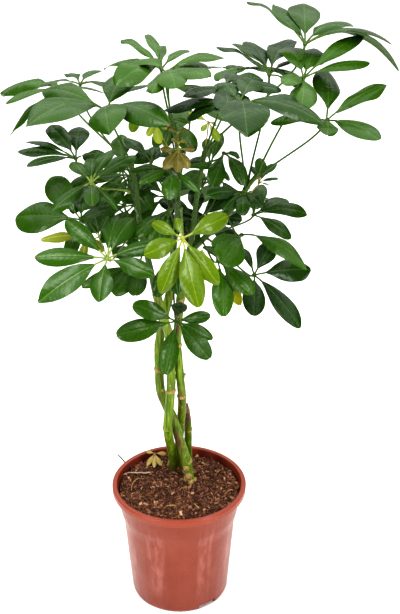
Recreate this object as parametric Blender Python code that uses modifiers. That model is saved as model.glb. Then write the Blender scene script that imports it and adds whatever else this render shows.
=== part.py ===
# Potted umbrella plant: plaited green canes with whorled leaves, in a 17 cm nursery pot.
# Metres, +Z up, the pot stands on z = 0 and its axis is the Z axis.
import bmesh
import bpy
import math
from mathutils import Vector

for thing in list(bpy.data.objects):
    bpy.data.objects.remove(thing, do_unlink=True)

# ---- driving sizes ----
GAP = 0.0003            # clearance between pieces that touch
POT_H = 0.160           # rim above the ground
RIM_R = 0.085           # outer radius of the rolled lip
FOOT_R = 0.0605         # outer radius of the foot ring
LIP_DROP = 0.009        # height of the lip's skirt
COLLAR_Z = 0.124        # where the collar under the lip ends
FLOOR = 0.0016          # pot floor
SOIL_Z = 0.152          # top of the peat
PETIOLE_R = 0.0012
BLADE_T = 0.0010        # thickness at the midrib
BLADE_W = 0.37          # blade width for a leaflet of length 1, stalk included
ARCH = 0.09             # rise of a leaflet over the straight line from hub to tip

plant = bpy.data.collections.new("umbrella_plant")
bpy.context.scene.collection.children.link(plant)
tools = bpy.data.collections.new("cutters")
bpy.context.scene.collection.children.link(tools)


def material(name, colour, rough):
    m = bpy.data.materials.new(name)
    m.use_nodes = True
    shader = m.node_tree.nodes["Principled BSDF"]
    shader.inputs["Base Color"].default_value = (*colour, 1.0)
    shader.inputs["Roughness"].default_value = rough
    m.diffuse_color = (*colour, 1.0)
    return m


def add(name, verts, faces, mat, home):
    mesh = bpy.data.meshes.new(name)
    mesh.from_pydata([tuple(v) for v in verts], [], faces)
    mesh.materials.append(mat)
    obj = bpy.data.objects.new(name, mesh)
    home.objects.link(obj)
    return obj


def bake(obj):
    """Apply the modifiers of an object and drop them."""
    bpy.context.view_layer.update()
    graph = bpy.context.evaluated_depsgraph_get()
    mesh = bpy.data.meshes.new_from_object(obj.evaluated_get(graph))
    obj.modifiers.clear()
    obj.data = mesh
    return obj


def lathe(name, profile, steps, mat, home):
    """Turn a half section (radius, height) about Z; it runs down the outer side and ends on the axis."""
    mesh = bpy.data.meshes.new(name)
    mesh.from_pydata([(r, 0.0, z) for r, z in profile], [(i, i + 1) for i in range(len(profile) - 1)], [])
    mesh.materials.append(mat)
    obj = bpy.data.objects.new(name, mesh)
    home.objects.link(obj)
    turn = obj.modifiers.new("turn", 'SCREW')
    turn.steps = turn.render_steps = steps
    turn.use_merge_vertices = True
    turn.merge_threshold = 0.00005
    turn.use_normal_calculate = False
    return obj


def aim(heading, pitch):
    """Unit vector; heading in plan from +X towards +Y, pitch upwards."""
    h, p = math.radians(heading), math.radians(pitch)
    return Vector((math.cos(p) * math.cos(h), math.cos(p) * math.sin(h), math.sin(p)))


def mm(point):
    return Vector(point) * 0.001


def smooth(points, per_span):
    """Catmull-Rom curve through the points."""
    pts = [points[0] * 2 - points[1]] + list(points) + [points[-1] * 2 - points[-2]]
    out = []
    for i in range(1, len(pts) - 2):
        a, b, c, d = pts[i - 1:i + 3]
        for k in range(per_span):
            t = k / per_span
            out.append(0.5 * (2 * b + (c - a) * t + (2 * a - 5 * b + 4 * c - d) * t * t
                              + (3 * b - a - 3 * c + d) * t ** 3))
    return out + [points[-1]]


def tube(path, radii, sides):
    """Closed tube along a path, as vertices and faces."""
    n = len(path)
    tangents = [(path[min(i + 1, n - 1)] - path[max(i - 1, 0)]).normalized() for i in range(n)]
    side = tangents[0].orthogonal().normalized()
    verts, faces = [], []
    for p, t, r in zip(path, tangents, radii):
        side = (side - side.dot(t) * t).normalized()
        other = t.cross(side)
        for k in range(sides):
            a = 2 * math.pi * k / sides
            verts.append(p + (side * math.cos(a) + other * math.sin(a)) * r)
    for i in range(n - 1):
        for k in range(sides):
            a, b = i * sides + k, i * sides + (k + 1) % sides
            faces.append((a, b, b + sides, a + sides))
    faces.append(tuple(reversed(range(sides))))
    faces.append(tuple(range(len(verts) - sides, len(verts))))
    return verts, faces


def point_at(path, z):
    """Point of a rising path at height z."""
    for a, b in zip(path, path[1:]):
        if a.z <= z <= b.z:
            return a.lerp(b, (z - a.z) / max(b.z - a.z, 1e-9))
    return path[-1].copy() if z > path[-1].z else path[0].copy()


# ---- pot: lathe-turned wall with rolled lip, collar, foot ring and drain channel ----
terracotta = material("terracotta plastic", (0.52, 0.13, 0.07), 0.38)
wall_in = FOOT_R + 0.0008
pot_profile = [
    (0.0, FLOOR), (0.0462, FLOOR), (0.0478, 0.0096), (wall_in - 0.0004, 0.0096),
    (0.0695, COLLAR_Z - 0.012), (0.0736, COLLAR_Z - 0.001), (0.0772, POT_H - 0.0070),
    (0.0785, POT_H - 0.0010), (0.0796, POT_H),
    (RIM_R - 0.0010, POT_H), (RIM_R, POT_H - 0.0012), (RIM_R - 0.0002, POT_H - LIP_DROP),
    (RIM_R - 0.0016, POT_H - LIP_DROP), (RIM_R - 0.0022, POT_H - 0.0030), (0.0800, POT_H - 0.0035),
    (0.0786, POT_H - 0.0080), (0.0750, COLLAR_Z), (0.0712, COLLAR_Z - 0.010), (0.0705, COLLAR_Z - 0.014),
    (FOOT_R + 0.0016, 0.0040), (FOOT_R - 0.0004, 0.0), (FOOT_R - 0.0022, 0.0), (FOOT_R - 0.0024, 0.0080),
    (0.0492, 0.0080), (0.0476, 0.0), (0.0, 0.0)]
pot = lathe("pot", pot_profile, 32, terracotta, plant)
up = Vector((0, 0, 1))
for turn_deg in (-54, 66, 186):
    # a notch through the foot ring lets water out of the drain channel
    a = math.radians(turn_deg)
    out, along = Vector((math.cos(a), math.sin(a), 0)), Vector((-math.sin(a), math.cos(a), 0))
    box = [out * r + along * s + up * z for z in (-0.002, 0.0068) for r, s in
           ((0.0525, -0.0125), (0.070, -0.0125), (0.070, 0.0125), (0.0525, 0.0125))]
    sides = [(3, 2, 1, 0), (4, 5, 6, 7), (0, 1, 5, 4), (1, 2, 6, 5), (2, 3, 7, 6), (3, 0, 4, 7)]
    cutter = add("notch_cutter", box, sides, terracotta, tools)
    cutter.hide_render = True
    cutter.display_type = 'WIRE'
    cut = pot.modifiers.new("notch", 'BOOLEAN')
    cut.operation, cut.solver, cut.object = 'DIFFERENCE', 'EXACT', cutter

# ---- canes: four plaited stems out of the soil, with leaf-scar rings ----
bark = material("green cane", (0.16, 0.30, 0.05), 0.55)
CANES = {
    # name: (course in mm, radius at soil, radius at top, heights of the scar rings in mm)
    "cane_diagonal": ([(17, 8, 126), (14, 10, 150), (9, 15, 183), (1, 22, 207), (-7, 25, 237),
                       (-17, 28, 260), (-23, 29, 280), (-24, 27, 310), (-24, 24, 340), (-20, 20, 371),
                       (-14, 18, 398), (-9, 20, 420), (-8, 24, 431)],
                      0.0066, 0.0052, (158, 168, 180, 309, 347, 389)),
    "cane_front": ([(-6, 42, 126), (-7, 38, 150), (-9, 28, 185), (-14, 10, 233), (-11, 8, 271),
                    (-9, 8, 299), (-9, 8, 320), (-9, 7, 342), (-11, 5, 369), (-16, 2, 392),
                    (-21, 0, 412), (-25, -1, 427)], 0.0061, 0.0052, (234, 289, 337, 395)),
    "cane_right": ([(5, 46, 126), (4, 45, 150), (0, 43, 187), (1, 39, 214), (3, 33, 237),
                    (4, 25, 255), (4, 19, 275), (3, 15, 295), (1, 14, 320), (-1, 16, 349),
                    (0, 18, 375), (3, 20, 408), (4, 21, 433)],
                   0.0057, 0.0050, (276, 306, 349, 409)),
    "cane_stub": ([(13, 58, 126), (12, 57, 150), (11, 55, 180), (11, 50, 214), (9, 44, 237),
                   (7, 40, 249)], 0.0051, 0.0047, (205, 241)),
}


def cane_path(course):
    return smooth([mm(p) for p in course], 1)


def cane_shape(course, r_low, r_top, scars, grow):
    """A cane swollen at its leaf scars; grow widens it for the hole in the soil."""
    path = cane_path(course)
    heights = {round(p.z, 5) for p in path}
    z0, z1 = min(heights), max(heights)
    for s in scars:
        heights = {h for h in heights if abs(h - s * 0.001) > 0.0035}
        heights |= {s * 0.001 + d for d in (-0.002, 0, 0.002)}
    heights = sorted(heights)
    rings = [point_at(path, h) for h in heights]
    radii = []
    for h in heights:
        r = r_low + (r_top - r_low) * (h - z0) / (z1 - z0) + grow
        if any(abs(h - s * 0.001) < 0.0005 for s in scars) and h > SOIL_Z:
            r += 0.0006
        radii.append(r)
    return rings, radii


for name, (course, r_low, r_top, scars) in CANES.items():
    rings, radii = cane_shape(course, r_low, r_top, scars, 0.0)
    add(name, *tube(rings, radii, 8), bark, plant)

# ---- soil: fills the pot to the fill line, with a plain hole for each cane ----
peat = material("peat", (0.055, 0.032, 0.020), 0.95)
soil_profile = [
    (0.0, SOIL_Z + 0.0010), (0.035, SOIL_Z + 0.0008), (0.060, SOIL_Z - 0.0004), (0.0762, SOIL_Z - 0.0014),
    (0.0730, COLLAR_Z - 0.001), (0.0690, COLLAR_Z - 0.012), (wall_in - 0.0009, 0.0100), (0.0475, 0.0100),
    (0.0458, FLOOR + GAP), (0.0, FLOOR + GAP)]
soil = lathe("soil", soil_profile, 32, peat, plant)
holes = [(name, course, r_low, r_top) for name, (course, r_low, r_top, scars) in CANES.items()]
holes.append(("seedling", [(-34, 60, 146), (-34, 60, 152), (-34, 60, 158)], 0.0009, 0.0009))
for name, course, r_low, r_top in holes:
    foot, rise = mm(course[0]), mm(course[1]) - mm(course[0])
    path = [foot - rise.normalized() * GAP * 1.5, foot + rise * 0.5, foot + rise, mm(course[2])]
    # the hole is cut a little wider than the cane and follows its lean
    cutter = add("hole_" + name, *tube(path, [r_low + 0.0006] * 4, 10), peat, tools)
    cutter.hide_render = True
    cutter.display_type = 'WIRE'
    cut = soil.modifiers.new("hole", 'BOOLEAN')
    cut.operation, cut.solver, cut.object = 'DIFFERENCE', 'EXACT', cutter

# ---- leaves ----
# A leaflet: half widths (share of the widest) at shares of its length; the first is the stalk's end.
BLADE = ((0.17, 0.11), (0.44, 0.88), (0.80, 0.92), (1.00, 0.20))
PLAIN = ((0.18, 0.12), (0.64, 1.00), (1.00, 0.34))


def leaflet(hub, along, face, length, wide, outline, small, arch=ARCH):
    """Stalk and blade as one closed piece: flat below, ridged along the midrib above."""
    up = (face - face.dot(along) * along).normalized()
    side = up.cross(along)
    rows = [(0.0016 * small / length, 0.0)] + list(outline)
    verts, faces = [], []
    for t, half in rows:
        p = hub + along * (length * t) + up * (4 * t * (1 - t) * arch * length)
        w = half * wide * length * 0.5 if t > 0.2 else (0.0006 + 0.0015 * t) * small
        thick = max(BLADE_T * small, 0.0007) if t > 0.2 else 0.0013 * small
        verts += [p - side * w, p + side * w, p + up * thick]
    for i in range(len(rows) - 1):
        for k in range(3):
            a, b = 3 * i + k, 3 * i + (k + 1) % 3
            faces += [(a, b, b + 3), (a, b + 3, a + 3)]
    last = len(verts) - 3
    faces += [(2, 1, 0), (last, last + 1, last + 2)]
    return verts, faces


def hub_ball(hub, face, r):
    side = face.orthogonal().normalized()
    other = face.cross(side)
    verts = [hub - face * r, hub + face * r]
    verts += [hub + (side * math.cos(a) + other * math.sin(a)) * r for a in
              (math.pi * k / 3 for k in range(6))]
    faces = []
    for a, b in ((2 + k, 2 + (k + 1) % 6) for k in range(6)):
        faces += [(0, b, a), (1, a, b)]
    return verts, faces


def whorl(face, count, start, sweep, length, droop):
    """Leaflets spread round the face direction from a first heading; every second one is shorter."""
    out = []
    for k in range(count):
        heading = start + (sweep * k / count if sweep == 360 else sweep * k / (count - 1))
        flat = aim(heading, 0)
        flat = (flat - flat.dot(face) * face).normalized()
        along = flat * math.cos(math.radians(droop)) - face * math.sin(math.radians(droop))
        out.append((along.normalized(), length * (1 - 0.10 * (k % 2))))
    return out


def leaf_pieces(hub, axis, foot, leaflets, small=1.0):
    """Petiole, hub and leaflets of one leaf, each as vertices and faces."""
    hub, face = mm(hub), aim(*axis)
    reach = (hub - foot).length
    b = foot + (hub - foot) * 0.33 + Vector((0, 0, 1)) * reach * 0.06
    c = hub - face * reach * 0.28
    path = []
    for k in range(4):
        t, u = k / 3, 1 - k / 3
        path.append(foot * u ** 3 + b * (3 * t * u * u) + c * (3 * t * t * u) + hub * t ** 3)
    pieces = [tube(path, [PETIOLE_R * small * s for s in (1.7, 1.05, 1, 1.2)], 3),
              hub_ball(hub, face, 0.0030 * small)]
    if isinstance(leaflets[0], (int, float)):
        count, start, sweep, length, droop = leaflets
        for along, size in whorl(face, count, start, sweep, length * 0.001, droop):
            pieces.append(leaflet(hub, along, face, size, BLADE_W, PLAIN, small))
        return pieces
    outline = BLADE if small == 1.0 else PLAIN
    for heading, pitch, length, *shape in leaflets:
        wide = BLADE_W * (shape[0] if shape else 1.0)
        arch = shape[1] if len(shape) > 1 else ARCH
        pieces.append(leaflet(hub, aim(heading, pitch), face, length * 0.001, wide, outline, small, arch))
    return pieces


def drop_scrap(mesh):
    """Keep the largest connected body of a mesh."""
    work = bmesh.new()
    work.from_mesh(mesh)
    bodies, left = [], set(work.faces)
    while left:
        body, edge = set(), {left.pop()}
        while edge:
            body |= edge
            edge = {f for g in edge for e in g.edges for f in e.link_faces} - body
        left -= body
        bodies.append(body)
    scrap = [f for body in sorted(bodies, key=len)[:-1] for f in body]
    bmesh.ops.delete(work, geom=scrap, context='FACES')
    work.to_mesh(mesh)
    work.free()


def fuse(name, pieces, mat):
    """Union the pieces into one solid."""
    base = add(name, *pieces[0], mat, plant)
    group = bpy.data.collections.new(name + "_pieces")
    bpy.context.scene.collection.children.link(group)
    for i, piece in enumerate(pieces[1:]):
        add(name + "_piece", *piece, mat, group)
    join = base.modifiers.new("join", 'BOOLEAN')
    join.operation, join.operand_type = 'UNION', 'COLLECTION'
    join.collection, join.solver = group, 'MANIFOLD'
    bake(base)
    drop_scrap(base.data)
    for piece in list(group.objects):
        bpy.data.objects.remove(piece, do_unlink=True)
    bpy.data.collections.remove(group)
    return base


def on_top(cane):
    """First two points of the shoot that goes on from a cane's top."""
    low, top = cane_path(CANES[cane][0])[-2:]
    way = (top - low).normalized()
    return [top + way * GAP * 1.3, top + way * 0.007]


# Each shoot: its stems (the cane it goes on from, course in mm, radius low and top) and its leaves:
# hub in mm, way the leaf faces, which stem, height on it in mm, leaflets. A leaflet is heading, pitch,
# length in mm and, where it differs, width share and arch; a regular whorl is count, first heading,
# sweep, length, droop.
SHOOTS = {
    "shoot_left": {
        "stems": [("cane_front", [(-31, -2, 459), (-38, -6, 497), (-42, -10, 525), (-45, -16, 566),
                                  (-50, -20, 601)], 0.0044, 0.0026)],
        "leaves": [
            ((-71, -50, 665), (-110, 62), 0, 593, [(-134, 6, 112, 1.2, 0.15), (141, 1, 98, 0.85, 0.13),
             (-83, 3, 88, 1.25, 0.18), (-48, 5, 103, 0.92, 0.16), (76, 20, 68, 1.35)]),
            ((-127, 50, 658), (-170, 76), 0, 587, [(150, -14, 96, 0.9, 0.13), (174, -40, 85, 0.6),
             (-165, -9, 67, 0.8), (124, -13, 70), (95, -14, 60), (36, -15, 54)]),
            ((-115, 120, 643), (100, 76), 0, 572, [(73, -1, 62, 0.9), (109, -5, 62, 0.8),
             (60, -20, 74, 0.7), (150, -10, 62), (20, -10, 52)]),
            ((-115, 30, 583), (-95, 76), 0, 557, [(147, 5, 74, 0.45), (158, -1, 74, 0.85),
             (-144, 4, 64, 0.9), (127, 23, 62, 1.1), (90, 13, 70), (-27, 17, 42)]),
            ((-107, -20, 529), (-105, 45), 0, 517, [(157, -7, 85, 1.35), (127, 23, 74, 1.15),
             (88, 6, 54), (40, 0, 50), (-109, -41, 50)]),
            ((-43, -30, 477), (-80, 50), 0, 489, [(-116, -10, 60, 1.1), (-152, -8, 72, 0.6),
             (-92, -10, 58, 1.05), (130, 5, 50)]),
            ((-64, 58, 559), (-90, 62), 0, 537, (7, -9, 360, 64, 8)),
            ((-65, 90, 502), (-90, 70), 0, 481, (5, 60, 220, 64, 10)),
            ((-45, -50, 559), (-90, 55), 0, 527, (2, -165, 40, 62, 12)),
            ((-100, 65, 542), (165, 60), 0, 509, (5, 60, 190, 70, 10)),
            ((-52, 22, 566), (-90, 60), 0, 545, (3, -178, 60, 48, 10)),
        ]},
    "shoot_middle": {
        "stems": [("cane_diagonal", [(-7, 28, 452), (-4, 26, 477), (0, 14, 517), (2, -4, 557),
                                     (3, -24, 597), (3, -38, 619)], 0.0044, 0.0024)],
        "leaves": [
            ((-15, 0, 696), (-80, 80), 0, 605, [(126, 10, 82, 0.45), (103, 15, 76, 0.48),
             (145, -11, 82, 0.55, 0.14), (-129, -2, 70, 1.3, 0.16), (66, 2, 72, 0.6), (93, 8, 62, 0.6)]),
            ((-9, -50, 707), (-75, 75), 0, 617, [(-103, -4, 60, 0.8), (48, -4, 62), (-52, 8, 72, 0.95),
             (-81, 1, 66, 1.25, 0.14), (32, 4, 72, 0.85, 0.13), (122, -1, 60)]),
            ((-10, 80, 652), (90, 75), 0, 593, (5, 10, 200, 66, 8)),
            ((-3, -80, 612), (-90, 50), 0, 577, [(-140, -8, 44, 0.75), (-92, -26, 44, 1.2),
             (153, -12, 52, 0.6), (-48, -20, 44, 0.6), (26, -7, 50, 0.45)]),
            ((-30, 50, 572), (-90, 62), 0, 525, [(126, 14, 56, 0.8), (85, 9, 40), (38, 6, 48),
             (-111, -32, 42)]),
            ((0, -90, 437), (-85, 35), 0, 457, [(-171, 28, 54, 1.05), (-168, -9, 68), (-101, -31, 68, 0.85),
             (-51, -19, 64, 0.95), (-37, -5, 52, 0.75), (-17, 17, 42, 0.9), (86, -1, 50)]),
            ((15, 125, 612), (90, 60), 0, 553, (3, -10, 110, 84, 6)),
            ((-6, -72, 563), (-90, 50), 0, 542, (3, -138, 40, 50, 16)),
            ((-12, 72, 519), (-90, 58), 0, 497, (5, 48, 172, 62, 8)),
            ((-4, -70, 509), (-95, 50), 0, 497, (3, -110, 50, 50, 22)),
            ((-6, 55, 621), (-70, 55), 0, 582, [(-61, -24, 56, 1.1), (-102, -37, 38), (25, -15, 24),
             (-124, -30, 42)]),
        ]},
    "shoot_right": {
        "stems": [("cane_right", [(6, 20, 452), (16, 16, 473), (34, 8, 497), (54, -4, 525),
                                  (68, -13, 547), (78, -20, 567), (92, -22, 587)], 0.0044, 0.0026),
                  (None, [(12, 17, 466), (18, 12, 497), (22, 4, 542), (32, 0, 603)], 0.0036, 0.0024)],
        "leaves": [
            ((52, -45, 689), (-80, 72), 1, 597, [(-131, 4, 62, 1.1), (-88, -4, 76), (78, -3, 60),
             (46, -4, 60), (-73, -3, 66), (-5, -3, 60, 0.9)]),
            ((66, -100, 689), (-85, 72), 0, 565, [(-88, 0, 104, 1.3, 0.15), (-28, -4, 94, 0.8, 0.14),
             (152, -14, 90, 0.85), (167, -19, 58), (75, 2, 80), (105, 0, 76), (20, -12, 80)]),
            ((104, 50, 675), (90, 70), 0, 568, [(117, 11, 84, 0.8), (107, 12, 82, 0.9),
             (71, 15, 82, 1.05), (50, 0, 78), (-40, -10, 60), (135, 10, 84, 0.42)]),
            ((163, -20, 645), (-70, 62), 0, 569, [(85, 19, 94, 0.95), (37, 16, 91, 0.64),
             (-46, -2, 75, 1.2), (-93, 0, 48, 1.3), (156, -10, 66, 0.7)]),
            ((141, 30, 715), (60, 78), 1, 601, [(131, 17, 100, 0.5), (108, 13, 92, 0.8),
             (89, 15, 92, 1.1), (20, -6, 108, 0.95, 0.17), (9, -17, 114, 0.9, 0.24),
             (50, 3, 90, 1.2, 0.13)]),
            ((138, 0, 686), (-60, 72), 0, 583, [(40, 18, 98, 0.55), (25, 4, 84, 0.7), (98, 8, 84, 1.1),
             (-95, -8, 80), (-116, 7, 56), (76, 8, 80, 1.1)]),
            ((88, -30, 465), (-70, 50), 0, 495, [(106, 20, 46, 0.6), (61, 28, 52, 1.2), (27, -8, 77),
             (-48, -27, 85, 0.8), (-94, -21, 62, 1.2), (-140, -1, 56)]),
            ((72, -60, 528), (-60, 55), 0, 527, [(-37, -12, 88, 0.72, 0.17), (-109, -7, 66, 1.4),
             (-132, 3, 50, 0.9)]),
            ((88, 20, 518), (-85, 58), 0, 492, [(75, 24, 50, 0.95), (41, 3, 56, 1.05),
             (18, -6, 67, 0.8, 0.16), (-31, -20, 53, 1.1, 0.12), (91, 25, 38)]),
            ((72, -80, 586), (-95, 60), 0, 549, [(-149, 6, 46, 1.1), (-124, -12, 40), (-65, -1, 44, 0.9),
             (-92, -10, 46)]),
            ((68, 90, 669), (90, 78), 1, 587, (5, 5, 330, 76, 6)),
            ((82, 90, 517), (80, 60), 0, 509, (5, 40, 130, 60, 12)),
            ((50, 105, 527), (90, 50), 1, 487, (3, 70, 80, 64, 12)),
            ((24, 62, 494), (-90, 60), 1, 475, (6, -35, 215, 60, 8)),
            ((4, 92, 502), (-90, 58), 1, 484, (4, -130, 80, 60, 8)),
            ((46, -70, 501), (-70, 45), 0, 489, [(-82, -36, 68), (-50, -20, 60), (105, -2, 46)]),
            ((52, -40, 615), (-60, 60), 1, 585, [(-59, -31, 46, 1.1, 0.18), (-107, -27, 50, 1.1),
             (41, -23, 26)]),
            ((38, 10, 582), (-90, 60), 1, 537, [(75, 19, 58, 0.6), (96, 19, 48, 0.7), (125, -6, 40),
             (31, -39, 34)]),
        ]},
}
leaf_green = material("leaf green", (0.035, 0.13, 0.020), 0.35)
STEM_PATHS = {}
for shoot, parts in SHOOTS.items():
    pieces = []
    STEM_PATHS[shoot] = []
    for cane, course, r_low, r_top in parts["stems"]:
        path = (on_top(cane) if cane else []) + [mm(p) for p in course]
        STEM_PATHS[shoot].append(path)
        radii = [r_low + (r_top - r_low) * i / (len(path) - 1) for i in range(len(path))]
        pieces.append(tube(path, radii, 6))
    for hub, axis, which, foot_z, leaflets in parts["leaves"]:
        pieces += leaf_pieces(hub, axis, point_at(STEM_PATHS[shoot][which], foot_z * 0.001), leaflets)
    fuse(shoot, pieces, leaf_green)

# Leaves of another colour stand just clear of the stem they grow from: colour, then for each leaf the
# hub, the way it faces, the foot of its stalk, its leaflets and how small it is.
lime = material("young lime leaf", (0.22, 0.38, 0.03), 0.30)
fresh = material("fresh green leaf", (0.08, 0.30, 0.03), 0.30)
bronze = material("bronze young leaf", (0.36, 0.22, 0.07), 0.45)
yellow = material("yellowing leaf", (0.62, 0.55, 0.04), 0.50)
pale = material("pale seedling", (0.55, 0.48, 0.20), 0.55)
APART = {
    "leaf_lime": (lime, [((9, -160, 568), (-90, 25), (5, -2, 535), [
        (149, 15, 38, 0.9), (-146, -9, 46, 1.2), (-118, -45, 62, 0.87), (-75, -42, 76, 0.86),
        (-43, -34, 62, 0.8), (32, 13, 56), (108, 31, 26)], 1.0)]),
    "leaf_fresh_low": (fresh, [((-71, -120, 527), (-100, 50), (-45, -18, 517), [
        (149, 31, 62, 0.85), (-171, 4, 76, 0.8), (-148, -21, 87, 0.95), (-101, -37, 52, 1.3),
        (-26, -8, 55), (8, 14, 56), (65, 24, 62), (82, 26, 62)], 1.0),
        ((-81, -90, 538), (-90, 60), (-71, -117, 526), [
            (150, 45, 26), (110, 50, 24), (60, 45, 26)], 0.6)]),
    "leaf_fresh_high": (fresh, [((-90, -60, 589), (-90, 60), (-52, -22, 563), [
        (-139, -20, 54), (-85, -11, 46), (123, 11, 46), (93, 13, 46), (27, 22, 58), (68, 21, 56, 0.8),
        (-41, -28, 44, 0.5)], 1.0)]),
    "leaf_fading": (yellow, [((-98, -45, 518), (-100, 60), (-48, -17, 528), [
        (-162, 6, 53, 0.7), (-52, -8, 34, 0.8), (-100, -28, 34, 0.8)], 0.8)]),
    "leaf_bronze": (bronze, [((4, -72, 631), (-90, 20), (3, -43, 621), [
        (-125, -29, 30, 1.1), (-92, -39, 28, 1.15), (-64, -30, 28, 1.1), (155, -10, 22, 0.8),
        (39, -13, 22, 0.8)], 0.6),
        ((4, -72, 638), (-90, 40), (4, -72, 631), [(129, 5, 12, 1.2), (45, 3, 12, 1.2)], 0.6),
        ((3, -66, 647), (-90, 40), (4, -72, 638), [(145, 7, 12), (37, 2, 12), (-92, -16, 10)], 0.6)]),
    "bud_right": (lime, [((92, -10, 569), (60, 70), (82, -17, 559), [
        (104, 20, 30), (82, 34, 34, 1.2), (40, 32, 32), (30, 1, 26), (-60, 10, 20)], 0.6)]),
    "young_left": (lime, [((-22, -10, 640), (-90, 40), (-3, -18, 601), [
        (-120, -35, 20, 1.1), (-76, -49, 26, 1.1), (16, -36, 16)], 0.6),
        ((-43, 20, 643), (-90, 40), (-3, -18, 601), [
            (-108, -51, 26, 1.3), (153, -30, 14), (29, -41, 14)], 0.6)]),
    "young_right": (lime, [((36, 10, 633), (-90, 40), (33, 4, 607), [
        (144, 13, 28, 0.8), (-135, -32, 14, 1.3), (43, -27, 14, 0.9), (-42, -50, 24, 1.1)], 0.6)]),
    "leaf_yellow": (yellow, [((52, -20, 461), (-70, 50), (28, 2, 481), [
        (-67, -19, 52, 0.9), (106, -12, 30, 0.8), (-160, -5, 26, 0.8)], 0.8)]),
    "seedling": (pale, [((-33, 58, 166), (-90, 50), (-34, 60, 146), [
        (-115, -24, 20), (-90, -28, 20), (-65, -22, 20), (10, 30, 16), (150, 40, 12)], 0.5)]),
}
for name, (mat, leaves) in APART.items():
    pieces = []
    for hub, axis, foot, leaflets, small in leaves:
        pieces += leaf_pieces(hub, axis, mm(foot), leaflets, small)
    fuse(name, pieces, mat)
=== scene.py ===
import math
import random

import bpy
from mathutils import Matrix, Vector, noise


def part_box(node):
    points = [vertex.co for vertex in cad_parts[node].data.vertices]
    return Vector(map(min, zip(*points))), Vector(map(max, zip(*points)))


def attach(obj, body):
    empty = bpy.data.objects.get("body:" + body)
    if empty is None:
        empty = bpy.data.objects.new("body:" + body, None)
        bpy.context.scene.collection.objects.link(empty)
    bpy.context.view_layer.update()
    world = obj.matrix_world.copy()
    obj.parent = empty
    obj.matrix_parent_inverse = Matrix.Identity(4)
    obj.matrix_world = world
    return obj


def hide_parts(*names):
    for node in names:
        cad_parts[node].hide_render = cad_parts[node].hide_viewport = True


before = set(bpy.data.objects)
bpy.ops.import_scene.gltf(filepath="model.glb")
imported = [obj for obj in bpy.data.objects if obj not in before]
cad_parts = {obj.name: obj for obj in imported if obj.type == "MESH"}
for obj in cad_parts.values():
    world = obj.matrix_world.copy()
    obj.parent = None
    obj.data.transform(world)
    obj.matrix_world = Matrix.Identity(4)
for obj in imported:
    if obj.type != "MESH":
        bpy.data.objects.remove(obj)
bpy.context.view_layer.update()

# ---------------------------------------------------------------------------------------------------
# Nursery pot. Injection-moulded polypropylene in terracotta colour: a tapered wall of 1.5 mm with a
# rolled lip, a collar step under it, a foot ring, a drain channel round the floor and three notches.
# Moulding leaves the wall very slightly wavy, so soft lights run down it in uneven streaks, and
# pale streaks of reflection are painted on it too.
# ---------------------------------------------------------------------------------------------------
pot_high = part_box("pot")[1]
POT_HEIGHT = pot_high.z
RIM = pot_high.x            # radius of the lip
FOOT = 0.0605               # radius of the inner wall at the foot
COLLAR = 0.124              # height of the step under the collar
POT_STEPS = 160
# half section, from the floor's middle up the inner wall, over the lip and down the outer side
POT_SECTION = [
    (0.0, 0.0016), (0.0462, 0.0016), (0.0478, 0.0096), (FOOT + 0.0004, 0.0096),
    (0.0695, COLLAR - 0.012), (0.0736, COLLAR - 0.001), (0.0772, POT_HEIGHT - 0.0070),
    (0.0785, POT_HEIGHT - 0.0010), (0.0796, POT_HEIGHT), (RIM - 0.0010, POT_HEIGHT),
    (RIM, POT_HEIGHT - 0.0012), (RIM - 0.0002, POT_HEIGHT - 0.009), (RIM - 0.0016, POT_HEIGHT - 0.009),
    (RIM - 0.0022, POT_HEIGHT - 0.0030), (0.0800, POT_HEIGHT - 0.0035), (0.0786, POT_HEIGHT - 0.0080),
    (0.0746, COLLAR), (0.0720, COLLAR - 0.010), (0.0708, COLLAR - 0.016), (FOOT + 0.0016, 0.0040),
    (FOOT - 0.0004, 0.0), (FOOT - 0.0022, 0.0), (FOOT - 0.0024, 0.0080), (0.0492, 0.0080),
    (0.0476, 0.0), (0.0, 0.0)]
NOTCH_HEADINGS = (-54, 66, 186)
NOTCH_REACH = (0.0525, 0.070)       # radii that a notch in the foot ring lies between
NOTCH_HALF = 0.0125
NOTCH_TALL = 0.0068
# bands of painted reflection, pale streaks down the wall: heading and half width in degrees
PAINTED_REFLECTION_BANDS = ((-115, 8), (-65, 4), (-56, 2.2), (-152, 7), (-27, 6), (41, 7), (88, 3.5), (139, 6))


def linear(hex_colour):
    """sRGB hex to the opaque linear colour that shaders take."""
    channels = [int(hex_colour[i:i + 2], 16) / 255 for i in (1, 3, 5)]
    return tuple(c / 12.92 if c <= 0.04045 else ((c + 0.055) / 1.055) ** 2.4 for c in channels) + (1.0,)


def feed(tree, node, feeds):
    """Feed a node's inputs with values or with other nodes' outputs."""
    for key, value in feeds.items():
        if isinstance(value, bpy.types.NodeSocket):
            tree.links.new(value, node.inputs[key])
        else:
            node.inputs[key].default_value = value


def put(tree, kind, feeds=None, out=0, stops=(), **settings):
    """Add a node with its settings, feeds and stops of (position, hex colour). Gives the output called
    for, or the node itself where out is None."""
    made = tree.nodes.new(kind)
    for key, value in settings.items():
        setattr(made, key, value)
    feed(tree, made, feeds or {})
    for _ in stops[2:]:
        made.color_ramp.elements.new(0.5)
    for number, (position, colour) in enumerate(stops):
        element = made.color_ramp.elements[number]
        element.position, element.color = position, linear(colour)
    return made if out is None else made.outputs[out]


def every(size):
    """Scale of a pattern with a feature every so many mm."""
    return 1000.0 / size


def finish_named(name, ior, roughness, specular=0.5):
    """A new material with typical values on its Principled shader: (material, tree, shader)."""
    made = bpy.data.materials.new(name)
    made.use_nodes = True
    shader = made.node_tree.nodes["Principled BSDF"]
    feed(made.node_tree, shader, {"IOR": ior, "Roughness": roughness, "Specular IOR Level": specular})
    return made, made.node_tree, shader


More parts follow.
